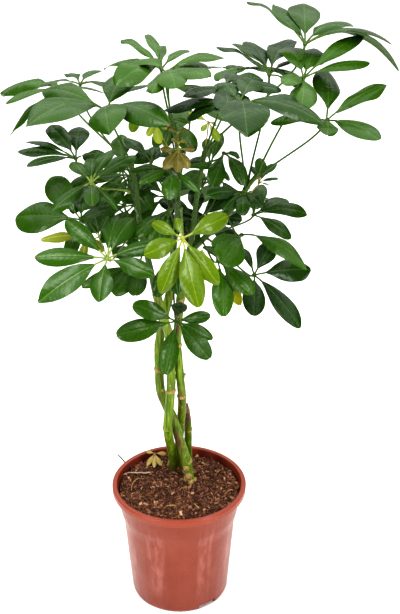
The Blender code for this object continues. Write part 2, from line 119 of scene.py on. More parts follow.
def moulded_polypropylene():
    """Semi-gloss. The lip is painted lighter, for the light that passes into its thin edge, pale streaks
    of painted reflection run down the wall, the foot is scuffed and painted shade darkens the inside under
    the lip."""
    made, tree, shader = finish_named("moulded polypropylene", 1.49, 0.31, 0.28)
    place = put(tree, "ShaderNodeTexCoord", out="Object")
    height = put(tree, "ShaderNodeSeparateXYZ", {0: place}, out="Z")
    up = put(tree, "ShaderNodeMapRange", {0: height, 1: 0.0, 2: POT_HEIGHT})
    # the wall lightens very slightly upwards, and the lip is painted lighter, for the light that passes into
    # its thin edge
    shade = put(tree, "ShaderNodeValToRGB", {0: up}, stops=[
        (0.0, "#7a3928"), (0.72, "#7e3b29"), (0.93, "#823e2c"), (0.965, "#8a412e")])
    # the colour mixed unevenly into the plastic, in clouds of about 26 mm
    cloud = put(tree, "ShaderNodeTexNoise", {"Vector": place, "Scale": every(26.3), "Detail": 4.0})
    cloud = put(tree, "ShaderNodeMapRange", {0: cloud, 1: 0.35, 2: 0.75, 3: 0.0, 4: 0.35})
    # dust and soil smears settle on the foot, in patches of about 8 mm
    smear = put(tree, "ShaderNodeTexNoise", {"Vector": place, "Scale": every(8.33), "Detail": 6.0})
    low_down = put(tree, "ShaderNodeMapRange", {0: height, 1: 0.0, 2: 0.035, 3: 0.65, 4: 0.0})
    dusty = put(tree, "ShaderNodeMath", {0: smear, 1: low_down}, operation="MULTIPLY")
    dusty = put(tree, "ShaderNodeMapRange", {0: dusty, 1: 0.22, 2: 0.5, 3: 0.0, 4: 0.4})
    # painted reflection: pale bands down the outer wall, broken up by stretched noise, thin at both ends
    flat = put(tree, "ShaderNodeVectorMath", {0: place, 1: (1.0, 1.0, 0.0)}, operation="MULTIPLY")
    outward = put(tree, "ShaderNodeVectorMath", {0: flat}, operation="NORMALIZE")
    painted_reflection = 0.0
    for heading, half in PAINTED_REFLECTION_BANDS:
        a = math.radians(heading)
        edge, core = (math.cos(math.radians(half * wide)) for wide in (1.5, 0.5))
        toward = put(tree, "ShaderNodeVectorMath", {0: outward, 1: (math.cos(a), math.sin(a), 0.0)},
                     out="Value", operation="DOT_PRODUCT")
        band = put(tree, "ShaderNodeMapRange", {0: toward, 1: edge, 2: core})
        painted_reflection = put(tree, "ShaderNodeMath", {0: painted_reflection, 1: band}, operation="MAXIMUM")
    drawn = put(tree, "ShaderNodeMapping", {0: place, "Scale": (every(8.33), every(8.33), every(23.8))})
    streak_breakup = put(tree, "ShaderNodeTexNoise", {"Vector": drawn, "Scale": 1.0, "Detail": 3.0})
    for thinned in ({0: streak_breakup, 1: 0.36, 2: 0.66},
                    {0: height, 1: COLLAR + 0.012, 2: COLLAR - 0.012, 3: 0.08, 4: 0.42},
                    {0: height, 1: 0.012, 2: 0.060, 3: 0.25, 4: 1.0}):
        thinned = put(tree, "ShaderNodeMapRange", thinned)
        painted_reflection = put(tree, "ShaderNodeMath", {0: painted_reflection, 1: thinned}, operation="MULTIPLY")
    # painted shade: the inner wall from the soil up under the lip is darkened
    reach = put(tree, "ShaderNodeVectorMath", {0: flat}, out="Value", operation="LENGTH")
    inside = put(tree, "ShaderNodeMapRange", {0: reach, 1: 0.0797, 2: 0.0785, 3: 0.0, 4: 0.6})
    upper = put(tree, "ShaderNodeMapRange", {0: height, 1: 0.148, 2: 0.150})
    painted_shade_under_lip = put(tree, "ShaderNodeMath", {0: inside, 1: upper}, operation="MULTIPLY")
    for share, colour in ((cloud, "#925041"), (dusty, "#8c4636"), (painted_reflection, "#b67c72"), (painted_shade_under_lip, "#5c2014")):
        shade = put(tree, "ShaderNodeMix", {0: share, 6: shade, 7: linear(colour)}, 2, data_type="RGBA")
    # the wall's waves: 12 mm across and 59 mm along, drawn down the wall as the plastic flowed
    flow = put(tree, "ShaderNodeMapping", {0: place, "Scale": (every(12.2), every(12.2), every(58.8))})
    wave = put(tree, "ShaderNodeTexNoise", {"Vector": flow, "Scale": 1.0, "Detail": 2.0})
    fine = put(tree, "ShaderNodeTexNoise", {"Vector": place, "Scale": every(1.11), "Detail": 2.0})
    gloss = put(tree, "ShaderNodeMapRange", {0: fine, 1: 0.3, 2: 0.7, 3: 0.26, 4: 0.36})
    relief = put(tree, "ShaderNodeMath", {0: fine, 1: 0.03, 2: wave}, operation="MULTIPLY_ADD")
    bumps = put(tree, "ShaderNodeBump", {"Strength": 0.55, "Distance": 0.0012, "Height": relief})
    feed(tree, shader, {"Base Color": shade, "Roughness": gloss, "Normal": bumps})
    return made


def show(name, mesh):
    made = bpy.data.objects.new(name, mesh)
    bpy.context.scene.collection.objects.link(made)
    return made


def settle(piece):
    """Apply a piece's modifiers to a plain mesh and drop them."""
    bpy.context.view_layer.update()
    graph = bpy.context.evaluated_depsgraph_get()
    mesh = bpy.data.meshes.new_from_object(piece.evaluated_get(graph))
    piece.modifiers.clear()
    piece.data = mesh
    mesh.name = piece.name
    return piece


def notch_block(heading):
    """A block that cuts one notch through the foot ring, to let water out of the drain channel."""
    a = math.radians(heading)
    out, along = Vector((math.cos(a), math.sin(a), 0)), Vector((-math.sin(a), math.cos(a), 0))
    near, far = NOTCH_REACH
    corners = [out * r + along * s + Vector((0, 0, z)) for z in (-0.002, NOTCH_TALL) for r, s in
               ((near, -NOTCH_HALF), (far, -NOTCH_HALF), (far, NOTCH_HALF), (near, NOTCH_HALF))]
    block = bpy.data.meshes.new("notch")
    block.from_pydata(corners, [], [(3, 2, 1, 0), (4, 5, 6, 7), (0, 1, 5, 4), (1, 2, 6, 5),
                                    (2, 3, 7, 6), (3, 0, 4, 7)])
    return show("notch", block)


def turned_pot():
    mesh = bpy.data.meshes.new("nursery_pot")
    mesh.from_pydata([(r, 0.0, z) for r, z in POT_SECTION],
                     [(i, i + 1) for i in range(len(POT_SECTION) - 1)], [])
    pot = show("nursery_pot", mesh)
    soften = pot.modifiers.new("soft corners", "BEVEL")
    soften.affect, soften.width, soften.segments = "VERTICES", 0.0007, 3
    turn = pot.modifiers.new("turn", "SCREW")
    turn.steps = turn.render_steps = POT_STEPS
    turn.use_merge_vertices, turn.merge_threshold = True, 0.00002
    turn.use_smooth_shade = True
    settle(pot)
    for heading in NOTCH_HEADINGS:
        block = notch_block(heading)
        cut = pot.modifiers.new("notch", "BOOLEAN")
        cut.operation, cut.solver, cut.object = "DIFFERENCE", "EXACT", block
        settle(pot)
        bpy.data.objects.remove(block, do_unlink=True)
    pot.data.materials.clear()
    pot.data.materials.append(moulded_polypropylene())
    pot.data.polygons.foreach_set("use_smooth", [True] * len(pot.data.polygons))
    pot.data.set_sharp_from_angle(angle=math.radians(32))
    return pot


nursery_pot = turned_pot()
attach(nursery_pot, "root")
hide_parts("pot")

# ---------------------------------------------------------------------------------------------------
# Potting soil. Moist sphagnum peat with coir fibres, bark chips, a little perlite and a few dry bits
# of root and twig, pressed down by hand around the canes, a little lower along the pot's wall.
# ---------------------------------------------------------------------------------------------------
soil_low, soil_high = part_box("soil")
SOIL_TOP = 0.1524
SOIL_RIM = soil_high.x - 0.0006
SOIL_RINGS, SOIL_SPOKES = 60, 168
CLOD = 0.0016               # height of the lumps, and of the broad swells
WALL_DROP = 0.0022          # how much lower the bed lies along the wall
SLOPE_FROM = 0.86           # share of its radius at which it starts to fall
# radius and height of the buried rings, which follow the pot's inner wall down to its floor
BURIED_RINGS = ((0.0730, COLLAR - 0.001), (0.0690, COLLAR - 0.012), (FOOT - 0.0001, 0.0100),
                (0.0475, 0.0100), (0.0458, soil_low.z))
UPWARD = 0.4                # faces steeper than this get nothing strewn on them


def crumbled(name, dark, mid, pale, pale_from):
    """Rough and matt, in grains of about 1.4 mm; each crumb or fibre has its own shade, and the hollows
    of its bumps are painted darker, as shade."""
    made, tree, shader = finish_named(name, 1.40, 0.92)
    place = put(tree, "ShaderNodeTexCoord", out="Object")
    tone = put(tree, "ShaderNodeAttribute", out="Fac", attribute_name="tone")
    grain = put(tree, "ShaderNodeTexNoise", {"Vector": place, "Scale": every(1.43), "Detail": 5.0})
    mixed = put(tree, "ShaderNodeMath", {0: grain, 1: 0.45, 2: tone}, operation="MULTIPLY_ADD")
    mixed = put(tree, "ShaderNodeMath", {0: mixed, 1: 0.22}, operation="SUBTRACT")
    # the same grain sinks the bumps and darkens the colour, so painted shade lies in the hollows
    shade = put(tree, "ShaderNodeValToRGB", {0: mixed},
                stops=[(0.0, dark), (0.5, mid), (pale_from, mid), (1.0, pale)])
    bumps = put(tree, "ShaderNodeBump", {"Strength": 0.7, "Distance": 0.0006, "Height": grain})
    feed(tree, shader, {"Base Color": shade, "Normal": bumps})
    return made


def soil_height(x, y):
    """Height of the pressed bed: small lumps on broad swells, and a slope down to the wall."""
    reach = math.hypot(x, y) / SOIL_RIM
    lumps = noise.fractal(Vector((x, y, 0.3)) * 120, 1.0, 2.0, 4) * CLOD
    swell = noise.noise(Vector((x, y, 5.0)) * 28) * CLOD
    return SOIL_TOP + lumps + swell - WALL_DROP * max(0.0, reach - SLOPE_FROM) / (1 - SLOPE_FROM)


def soil_bed():
    """The bed's top in rings round its middle, closed by a plain plug down to the pot's floor."""
    turns = [2 * math.pi * k / SOIL_SPOKES for k in range(SOIL_SPOKES)]
    verts = [Vector((0, 0, soil_height(0, 0)))]
    for i in range(1, SOIL_RINGS + 1):
        r = SOIL_RIM * (i / SOIL_RINGS) ** 0.8
        verts += [Vector((r * math.cos(a), r * math.sin(a), soil_height(r * math.cos(a), r * math.sin(a))))
                  for a in turns]
    for r, z in BURIED_RINGS:
        verts += [Vector((r * math.cos(a), r * math.sin(a), z)) for a in turns]
    rings = SOIL_RINGS + len(BURIED_RINGS)
    faces = []
    for k in range(SOIL_SPOKES):
        n = (k + 1) % SOIL_SPOKES
        faces.append((0, 1 + k, 1 + n))
        for i in range(rings - 1):
            a, b = 1 + i * SOIL_SPOKES, 1 + (i + 1) * SOIL_SPOKES
            faces.append((a + k, b + k, b + n, a + n))
    faces.append(tuple(1 + (rings - 1) * SOIL_SPOKES + k for k in reversed(range(SOIL_SPOKES))))
    mesh = bpy.data.meshes.new("soil_bed")
    mesh.from_pydata(verts, [], faces)
    mesh.materials.append(crumbled("damp peat", "#2a1810", "#4c2f1f", "#74503a", 0.8))
    tones = mesh.attributes.new("tone", "FLOAT", "POINT")
    tones.data.foreach_set("value", [0.25 + 0.2 * noise.noise(v * 260) for v in verts])
    return show("soil_bed", mesh)


def open_tree(name, labels):
    """A tree that strews copies over a bed, with a named input for each of its sizes: (tree, inputs)."""
    tree = bpy.data.node_groups.new(name, "GeometryNodeTree")
    side = tree.interface
    side.new_socket("Bed", in_out="INPUT", socket_type="NodeSocketGeometry")
    for label in labels:
        side.new_socket(label, in_out="INPUT", socket_type="NodeSocketFloat")
    side.new_socket("Seed", in_out="INPUT", socket_type="NodeSocketInt")
    side.new_socket("Material", in_out="INPUT", socket_type="NodeSocketMaterial")
    side.new_socket("Strewn", in_out="OUTPUT", socket_type="NodeSocketGeometry")
    return tree, put(tree, "NodeGroupInput", out=None).outputs


def close_tree(tree, given, laid):
    """Give each laid copy a shade of its own, make them all real mesh and put them in their material."""
    tone = put(tree, "FunctionNodeRandomValue", {2: 0.0, 3: 1.0, "Seed": 3}, 1, data_type="FLOAT")
    toned = put(tree, "GeometryNodeStoreNamedAttribute", {"Geometry": laid, "Name": "tone", "Value": tone},
                data_type="FLOAT", domain="INSTANCE")
    real = put(tree, "GeometryNodeRealizeInstances", {0: toned})
    dyed = put(tree, "GeometryNodeSetMaterial", {"Geometry": real, "Material": given["Material"]})
    put(tree, "NodeGroupOutput", {0: dyed}, out=None)
    return tree


def strewing_tree(name, shape):
    """Strews a shape over the upward faces of a bed: how many to the square metre, smallest and largest
    size, how far they lean in radians and how deep they sit."""
    tree, given = open_tree(name, ("Per square metre", "Smallest", "Largest", "Lean", "Sink"))
    normal = put(tree, "GeometryNodeInputNormal")
    steep = put(tree, "ShaderNodeSeparateXYZ", {0: normal}, out="Z")
    upward = put(tree, "FunctionNodeCompare", {0: steep, 1: UPWARD}, operation="GREATER_THAN")
    spots = put(tree, "GeometryNodeDistributePointsOnFaces",
                {"Mesh": given["Bed"], "Selection": upward, "Density": given["Per square metre"],
                 "Seed": given["Seed"]}, out="Points")
    lean = given["Lean"]
    back = put(tree, "ShaderNodeMath", {0: lean, 1: -1.0}, operation="MULTIPLY")
    least = put(tree, "ShaderNodeCombineXYZ", {0: back, 1: back, 2: 0.0})
    most = put(tree, "ShaderNodeCombineXYZ", {0: lean, 1: lean, 2: 6.2832})
    turn = put(tree, "FunctionNodeRandomValue", {0: least, 1: most, "Seed": given["Seed"]},
               data_type="FLOAT_VECTOR")
    long_side = put(tree, "FunctionNodeRandomValue",
                    {2: given["Smallest"], 3: given["Largest"], "Seed": given["Seed"]}, 1,
                    data_type="FLOAT")
    squeeze = put(tree, "FunctionNodeRandomValue", {0: (0.6, 0.6, 0.5), 1: (1.2, 1.0, 0.9), "Seed": 7},
                  data_type="FLOAT_VECTOR")
    size = put(tree, "ShaderNodeVectorMath", {0: squeeze, "Scale": long_side}, operation="SCALE")
    laid = put(tree, "GeometryNodeInstanceOnPoints",
               {"Points": spots, "Instance": shape(tree), "Rotation": turn, "Scale": size})
    drop = put(tree, "ShaderNodeMath", {0: given["Sink"], 1: -1.0}, operation="MULTIPLY")
    down = put(tree, "ShaderNodeCombineXYZ", {2: drop})
    sunk = put(tree, "GeometryNodeTranslateInstances",
               {"Instances": laid, "Translation": down, "Local Space": False})
    return close_tree(tree, given, sunk)


def dented(tree, mesh, step, depth):
    """The same shape with its points pushed about, so that no two sides match."""
    push = put(tree, "ShaderNodeTexNoise", {"Scale": step}, out="Color")
    push = put(tree, "ShaderNodeVectorMath", {0: push, 1: (0.5, 0.5, 0.5)}, operation="SUBTRACT")
    push = put(tree, "ShaderNodeVectorMath", {0: push, "Scale": depth}, operation="SCALE")
    return put(tree, "GeometryNodeSetPosition", {"Geometry": mesh, "Offset": push})


def crumb(tree):
    """A lump with 20 faces, about 1 wide."""
    ball = put(tree, "GeometryNodeMeshIcoSphere", {"Radius": 0.5, "Subdivisions": 1})
    return dented(tree, ball, 2.3, 1.1)


def fibre(tree):
    """A bent strand, 1 long and 0.05 thick, four-sided."""
    bow = put(tree, "GeometryNodeCurveQuadraticBezier",
              {"Resolution": 4, "Start": (-0.5, 0, 0), "Middle": (0.05, 0.32, 0.22), "End": (0.5, -0.06, 0)})
    ring = put(tree, "GeometryNodeCurvePrimitiveCircle", {"Resolution": 4, "Radius": 0.026})
    return put(tree, "GeometryNodeCurveToMesh", {"Curve": bow, "Profile Curve": ring, "Fill Caps": True})


def chip(tree):
    """A flat splinter of bark, 1 by 0.45 by 0.2."""
    slab = put(tree, "GeometryNodeMeshCube", {"Size": (1.0, 0.45, 0.2)})
    return dented(tree, slab, 1.4, 0.7)


def strew(name, tree, bed, inputs):
    """What a tree strews over a bed, as a piece of its own."""
    piece = show(name, bed.data.copy())
    strewing = piece.modifiers.new("strewing", "NODES")
    strewing.node_group = tree
    for socket in tree.interface.items_tree:
        if socket.in_out == "INPUT" and socket.name in inputs:
            strewing[socket.identifier] = inputs[socket.name]
    return settle(piece)


bed = soil_bed()
crumbs, fibres, chips = (strewing_tree(*pair) for pair in (
    ("crumbs", crumb), ("fibres", fibre), ("chips", chip)))
peat_crumb = crumbled("peat crumb", "#2e1b12", "#6a4432", "#a0775e", 0.7)
coir = crumbled("coir fibre", "#4d3022", "#845a40", "#bb9470", 0.65)
bark_chip = crumbled("bark chip", "#5e3c28", "#946a4c", "#cda684", 0.55)
perlite = crumbled("perlite", "#b9b4a8", "#d8d4c8", "#f0ede4", 0.6)
STREWN_INPUTS = ("Material", "Per square metre", "Smallest", "Largest", "Lean", "Sink", "Seed")
soil_pieces = [bed]
for name, tree, *values in (
        ("soil_crumbs", crumbs, peat_crumb, 190000, 0.0012, 0.0040, 1.6, 0.0002, 11),
        ("soil_lumps", crumbs, peat_crumb, 18000, 0.0038, 0.0080, 1.6, 0.0006, 12),
        ("soil_fibres", fibres, coir, 52000, 0.0040, 0.0115, 0.5, -0.0004, 13),
        ("soil_chips", chips, bark_chip, 13000, 0.0024, 0.0080, 0.7, -0.0004, 14),
        ("soil_perlite", crumbs, perlite, 900, 0.0010, 0.0020, 1.6, -0.0006, 15)):
    soil_pieces.append(strew(name, tree, bed, dict(zip(STREWN_INPUTS, values))))


def smooth(points, per_span):
    """Catmull-Rom curve through the points."""
    pts = [points[0] * 2 - points[1]] + list(points) + [points[-1] * 2 - points[-2]]
    out = []
    for i in range(1, len(pts) - 2):
        a, b, c, d = pts[i - 1:i + 3]
        for k in range(per_span):
            t = k / per_span
            out.append(0.5 * (2 * b + (c - a) * t + (2 * a - 5 * b + 4 * c - d) * t * t
                              + (3 * b - a - 3 * c + d) * t ** 3))
    return out + [points[-1]]


def mm(point):
    return Vector(point) * 0.001


class Growth:
    """The mesh of one thing that grew, gathered from tubes, knobs and leaflets that run into each other.
    Each face keeps marks: is it an underside, is it a stalk, its shade, and how dry it is."""

    def __init__(self):
        self.verts, self.faces, self.marks, self.spots, self.rims = [], [], [], [], []

    def point(self, place, spot=(0.0, 0.0), rim=False):
        self.verts.append(place)
        self.spots.append(spot)
        self.rims.append(rim)
        return len(self.verts) - 1

    def tube(self, path, radii, sides, mark, wobble=None):
        """Closed tube along a path; its blade coordinates are mm round it and mm along it."""
        n = len(path)
        ways = [(path[min(i + 1, n - 1)] - path[max(i - 1, 0)]).normalized() for i in range(n)]
        side = ways[0].orthogonal().normalized()
        rows, marks, run = [], [], 0.0
        for i, (p, way, r) in enumerate(zip(path, ways, radii)):
            side = (side - side.dot(way) * way).normalized()
            other = way.cross(side)
            run += (p - path[i - 1]).length if i else 0.0
            row = []
            for k in range(sides):
                a = 2 * math.pi * k / sides
                out = side * math.cos(a) + other * math.sin(a)
                swell = wobble(p, out) if wobble else 0.0
                marks.append(mark(p, out) if callable(mark) else mark)
                row.append(self.point(p + out * (r + swell), (a * r * 1000, run * 1000)))
            rows.append(row)
        for i, (low, high) in enumerate(zip(rows, rows[1:])):
            for k in range(sides):
                m = (k + 1) % sides
                self.faces.append((low[k], low[m], high[m], high[k]))
                self.marks.append(marks[i * sides + k])
        for ring, centre in ((list(reversed(rows[0])), path[0]), (rows[-1], path[-1])):
            middle = self.point(centre)
            for k in range(sides):
                self.faces.append((ring[k], ring[(k + 1) % sides], middle))
                self.marks.append(marks[-1])

    def knob(self, centre, way, r, tall, mark):
        """A bud or a joint: a ball of a few rings, stretched along its own way."""
        side = way.orthogonal().normalized()
        other = way.cross(side)
        rings, sides = 4, 8
        low, high = self.point(centre - way * r * tall), self.point(centre + way * r * tall)
        rows = []
        for j in range(1, rings):
            f = math.pi * j / rings
            rows.append([self.point(centre - way * (math.cos(f) * r * tall)
                                    + (side * math.cos(a) + other * math.sin(a)) * math.sin(f) * r)
                         for a in (2 * math.pi * k / sides for k in range(sides))])
        for k in range(sides):
            m = (k + 1) % sides
            self.faces += [(low, rows[0][m], rows[0][k]), (high, rows[-1][k], rows[-1][m])]
            self.faces += [(a[k], a[m], b[m], b[k]) for a, b in zip(rows, rows[1:])]
            self.marks += [mark] * (2 + len(rows) - 1)

    def mesh(self, name, material):
        made = bpy.data.meshes.new(name)
        made.from_pydata(self.verts, [], self.faces)
        made.materials.append(material)
        made.polygons.foreach_set("use_smooth", [True] * len(self.faces))
        loops = len(made.loops)
        corner_verts = [0] * loops
        made.loops.foreach_get("vertex_index", corner_verts)
        uv = made.uv_layers.new(name="blade")
        uv.data.foreach_set("uv", [c for v in corner_verts for c in self.spots[v]])
        marks = made.color_attributes.new("mark", "FLOAT_COLOR", "CORNER")
        marks.data.foreach_set("color", [c for face, mark in zip(self.faces, self.marks)
                                         for _ in face for c in mark])
        sharp = made.attributes.new("sharp_edge", "BOOLEAN", "EDGE")
        sharp.data.foreach_set("value", [self.rims[e.vertices[0]] and self.rims[e.vertices[1]]
                                         for e in made.edges])
        return made


def dry_growth(name, hexes):
    """Weathered root and twig: matt, streaked along its length. Its blade coordinates are in mm: a streak
    is about 0.6 mm across and 4 mm long."""
    made, tree, shader = finish_named(name, 1.45, 0.85)
    spot = put(tree, "ShaderNodeUVMap", uv_map="blade")
    streak = put(tree, "ShaderNodeMapping", {0: spot, "Scale": (1.6, 0.25, 1.0)})
    grain = put(tree, "ShaderNodeTexNoise", {"Vector": streak, "Scale": 1.0, "Detail": 3.0})
    shade = put(tree, "ShaderNodeValToRGB", {0: grain}, stops=list(zip((0.30, 0.55, 0.75), hexes)))
    bumps = put(tree, "ShaderNodeBump", {"Strength": 0.5, "Distance": 0.0004, "Height": grain})
    feed(tree, shader, {"Base Color": shade, "Normal": bumps})
    return made


# loose bits on the bed: dark, middle and pale shade, then courses in mm with the thickness in mm from
# one end to the other
LOOSE_BITS = {
    "soil_twig": (("#7d6f5c", "#b3a58c", "#dcd2bc"), [
        ([(-73, 24, 153.5), (-66, 26, 156), (-58, 24, 157), (-50, 26, 156), (-44, 25, 156), (-38, 28, 155)],
         (0.9, 1.3, 1.5, 1.6, 1.9, 1.2)),
        ([(-58, 24, 157), (-55, 29, 158), (-53, 34, 158)], (0.5, 0.4, 0.2))]),
    "soil_root": (("#8a6a3c", "#b99356", "#d6b77c"), [
        ([(-45, 14, 154.5), (-52, 13, 156), (-57, 7, 156), (-60, -2, 155.5), (-60, -12, 154.5)],
         (0.5, 0.8, 0.9, 0.8, 0.4)),
        ([(-18, -50, 154), (-14, -46, 156), (-6, -45, 156), (-2, -47, 154)], (0.6, 1.1, 1.0, 0.5)),
        ([(20, -40, 154), (22, -46, 156), (26, -50, 155)], (1.2, 1.6, 0.7)),
        ([(58, -18, 154), (64, -13, 156), (68, -10, 154.5)], (0.8, 1.6, 0.8)),
        ([(44, 22, 154), (50, 28, 156), (52, 36, 154)], (0.4, 0.8, 0.5))]),
    "rim_twig": (("#231e1a", "#3f3731", "#665a4f"), [
        ([(-62, 38, 154), (-67, 43, 156), (-72, 49, 157), (-78, 56, 160), (-82, 58, 163)],
         (1.8, 2.2, 2.0, 1.8, 1.0))]),
}
for name, (hexes, courses) in LOOSE_BITS.items():
    bits = Growth()
    for course, thickness in courses:
        path = smooth([mm(p) for p in course], 5)
        radii = [thickness[min(int(i / 5), len(thickness) - 1)] * 0.0005 for i in range(len(path))]
        bits.tube(path, radii, 7, (0, 1, 0.5, 1))
    soil_pieces.append(show(name, bits.mesh(name, dry_growth(name.replace("_", " "), hexes))))
for piece in soil_pieces:
    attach(piece, "root")
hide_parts("soil")

# ---------------------------------------------------------------------------------------------------
# Canes. Four rooted cuttings plaited while young: smooth green bark with fine streaks, tan corky rings
# where old leaves came off, a few corky specks, and one cane cut off short and dried at its top.
# ---------------------------------------------------------------------------------------------------
NEVER = 1000                # a height in mm that no cane reaches
CANES = {
    # name: course, radius at the soil and at the top, heights of the scar rings, height from which the
    # bark has aged brown in patches, height from which it has dried; heights and course in mm
    "cane_diagonal": ([(17, 8, 126), (14, 10, 150), (9, 15, 183), (1, 22, 207), (-7, 25, 237),
                       (-17, 28, 260), (-23, 29, 280), (-24, 27, 310), (-24, 24, 340), (-20, 20, 371),
                       (-14, 18, 398), (-9, 20, 420), (-8, 24, 431)],
                      0.0066, 0.0052, (158, 168, 180, 309, 347, 389), NEVER, NEVER),
    "cane_front": ([(-6, 42, 126), (-7, 38, 150), (-9, 28, 185), (-14, 10, 233), (-11, 8, 271),
                    (-9, 8, 299), (-9, 8, 320), (-9, 7, 342), (-11, 5, 369), (-16, 2, 392),
                    (-21, 0, 412), (-25, -1, 427)], 0.0061, 0.0052, (234, 289, 337, 395), 340, NEVER),
    "cane_right": ([(5, 46, 126), (4, 45, 150), (0, 43, 187), (1, 39, 214), (3, 33, 237),
                    (4, 25, 255), (4, 19, 275), (3, 15, 295), (1, 14, 320), (-1, 16, 349),
                    (0, 18, 375), (3, 20, 408), (4, 21, 433)],
                   0.0057, 0.0050, (276, 306, 349, 409), NEVER, NEVER),
    "cane_stub": ([(13, 58, 126), (12, 57, 150), (11, 55, 180), (11, 50, 214), (9, 44, 237),
                   (7, 40, 249)], 0.0051, 0.0047, (205, 241), NEVER, 212),
}
# corky knobs where side shoots were rubbed off: place in mm, way each points, radius in mm
RUBBED_SHOOTS = {
    "cane_diagonal": [((12, 5.5, 164), (0.1, -1, 0.2), 5.2), ((15, 5, 156), (0.6, -1, 0.0), 4.8),
                      ((9, 8, 175), (-0.2, -1, 0.3), 4.6), ((20, 9, 157), (1, -0.3, 0.1), 3.6),
                      ((7.5, 7, 158), (-1, -0.4, 0), 3.0), ((-19, 20, 283), (0.2, -1, 0.3), 2.4)],
    "cane_front": [((-13, 34, 166), (-1, -0.5, 0.1), 3.2), ((-2.5, 34, 157), (0.6, -1, 0), 2.6)],
    "cane_right": [((8, 14, 309), (0.8, -1, 0.3), 2.0)],
    "cane_stub": [((6, 40, 237), (-1, -0.3, 0.3), 2.2)],
}
CANE_STEP = 0.0011          # distance between a cane's rings of faces
SCAR_HALF = 0.0022          # half width of a scar ring
SCAR_SWELL = 0.0012         # how far it stands out
DRYING_OVER = 0.016         # length over which the stub goes from green to dry


def young_bark():
    """Satin green, streaked along the cane; scars are matt tan cork, darker at their edges."""
    made, tree, shader = finish_named("young green bark", 1.45, 0.48, 0.3)
    place = put(tree, "ShaderNodeTexCoord", out="Object")
    marks = put(tree, "ShaderNodeVertexColor", out="Color", layer_name="mark")
    parts = put(tree, "ShaderNodeSeparateColor", {0: marks}, out=None).outputs
    # fibres under the bark: 2.4 mm apart and 24 mm long
    drawn = put(tree, "ShaderNodeMapping", {0: place, "Scale": (every(2.38), every(2.38), every(23.8))})
    streak = put(tree, "ShaderNodeTexNoise", {"Vector": drawn, "Scale": 1.0, "Detail": 4.0})
    shade = put(tree, "ShaderNodeValToRGB", {0: streak},
                stops=[(0.28, "#3c500a"), (0.5, "#5e7a10"), (0.72, "#889a2e")])
    patch = put(tree, "ShaderNodeTexNoise", {"Vector": place, "Scale": every(13.3), "Detail": 3.0})
    aged = put(tree, "ShaderNodeMapRange", {0: patch, 1: 0.50, 2: 0.68, 3: 0.0, 4: 0.55})
    woody = put(tree, "ShaderNodeValToRGB", {0: streak}, stops=[(0.3, "#3f2a1a"), (0.6, "#6e4f33")])
    grain = put(tree, "ShaderNodeTexNoise", {"Vector": place, "Scale": every(1.11), "Detail": 4.0})
    cork = put(tree, "ShaderNodeValToRGB", {0: grain},
               stops=[(0.3, "#745938"), (0.55, "#a98f5e"), (0.75, "#cfba8c")])
    ragged = put(tree, "ShaderNodeMath", {0: grain, 1: 0.5, 2: parts["Red"]}, operation="MULTIPLY_ADD")
    scar = put(tree, "ShaderNodeMapRange", {0: ragged, 1: 0.56, 2: 0.76, 3: 0.0, 4: 0.94})
    for share, colour in ((aged, linear("#6e6630")), (parts["Green"], woody), (scar, cork)):
        shade = put(tree, "ShaderNodeMix", {0: share, 6: shade, 7: colour}, 2, data_type="RGBA")
    dull = put(tree, "ShaderNodeMapRange", {0: scar, 3: 0.42, 4: 0.85})
    relief = put(tree, "ShaderNodeMath", {0: grain, 1: scar, 2: streak}, operation="MULTIPLY_ADD")
    bumps = put(tree, "ShaderNodeBump", {"Strength": 0.45, "Distance": 0.0005, "Height": relief})
    feed(tree, shader, {"Base Color": shade, "Roughness": dull, "Normal": bumps})
    return made


def even_steps(path, step):
    """The same path with points a fixed step apart."""
    out, spare = [path[0].copy()], 0.0
    for a, b in zip(path, path[1:]):
        length = (b - a).length
        at = step - spare
        while at < length:
            out.append(a.lerp(b, at / length))
            at += step
        spare = length - (at - step)
    return out + [path[-1].copy()]


def grow_cane(course, r_low, r_top, scars, aged_from, dried_from, draw):
    cane = Growth()
    path = even_steps(smooth([mm(p) for p in course], 6), CANE_STEP)
    # each ring goes round a little aslant: height, where it is highest, its slope, its thickness
    rings = [(s * 0.001, draw.uniform(0, 6.28), draw.uniform(0.05, 0.35), draw.uniform(0.8, 1.25))
             for s in scars]
    woody_from = draw.uniform(0, 6.28)

    def ring_share(p, out):
        most = 0.0
        for height, heading, tilt, thick in rings:
            round_side = out.x * math.cos(heading) + out.y * math.sin(heading)
            off = (p.z - height - tilt * r_low * round_side) / (SCAR_HALF * thick)
            most = max(most, math.exp(-off * off) * (0.62 + 0.38 * round_side))
        return most

    def swell(p, out):
        return SCAR_SWELL * ring_share(p, out) + noise.noise(p * 60 + out * 0.5) * 0.0004

    def mark(p, out):
        patch = noise.noise(Vector((out.x * 0.8, out.y * 0.8, p.z * 22 + woody_from)))
        age = 0.75 if p.z > aged_from * 0.001 else 0.22
        dried = max(0.0, min(1.0, (p.z - dried_from * 0.001) / DRYING_OVER))
        woody = max(dried, min(1.0, (patch - 0.35 + age * 0.5) * 2.2))
        return max(ring_share(p, out), dried * 0.22), woody, 0.0, 0.0

    last = len(path) - 1
    radii = [r_low + (r_top - r_low) * i / last for i in range(last + 1)]
    cane.tube(path, radii, 22, mark, swell)
    return cane


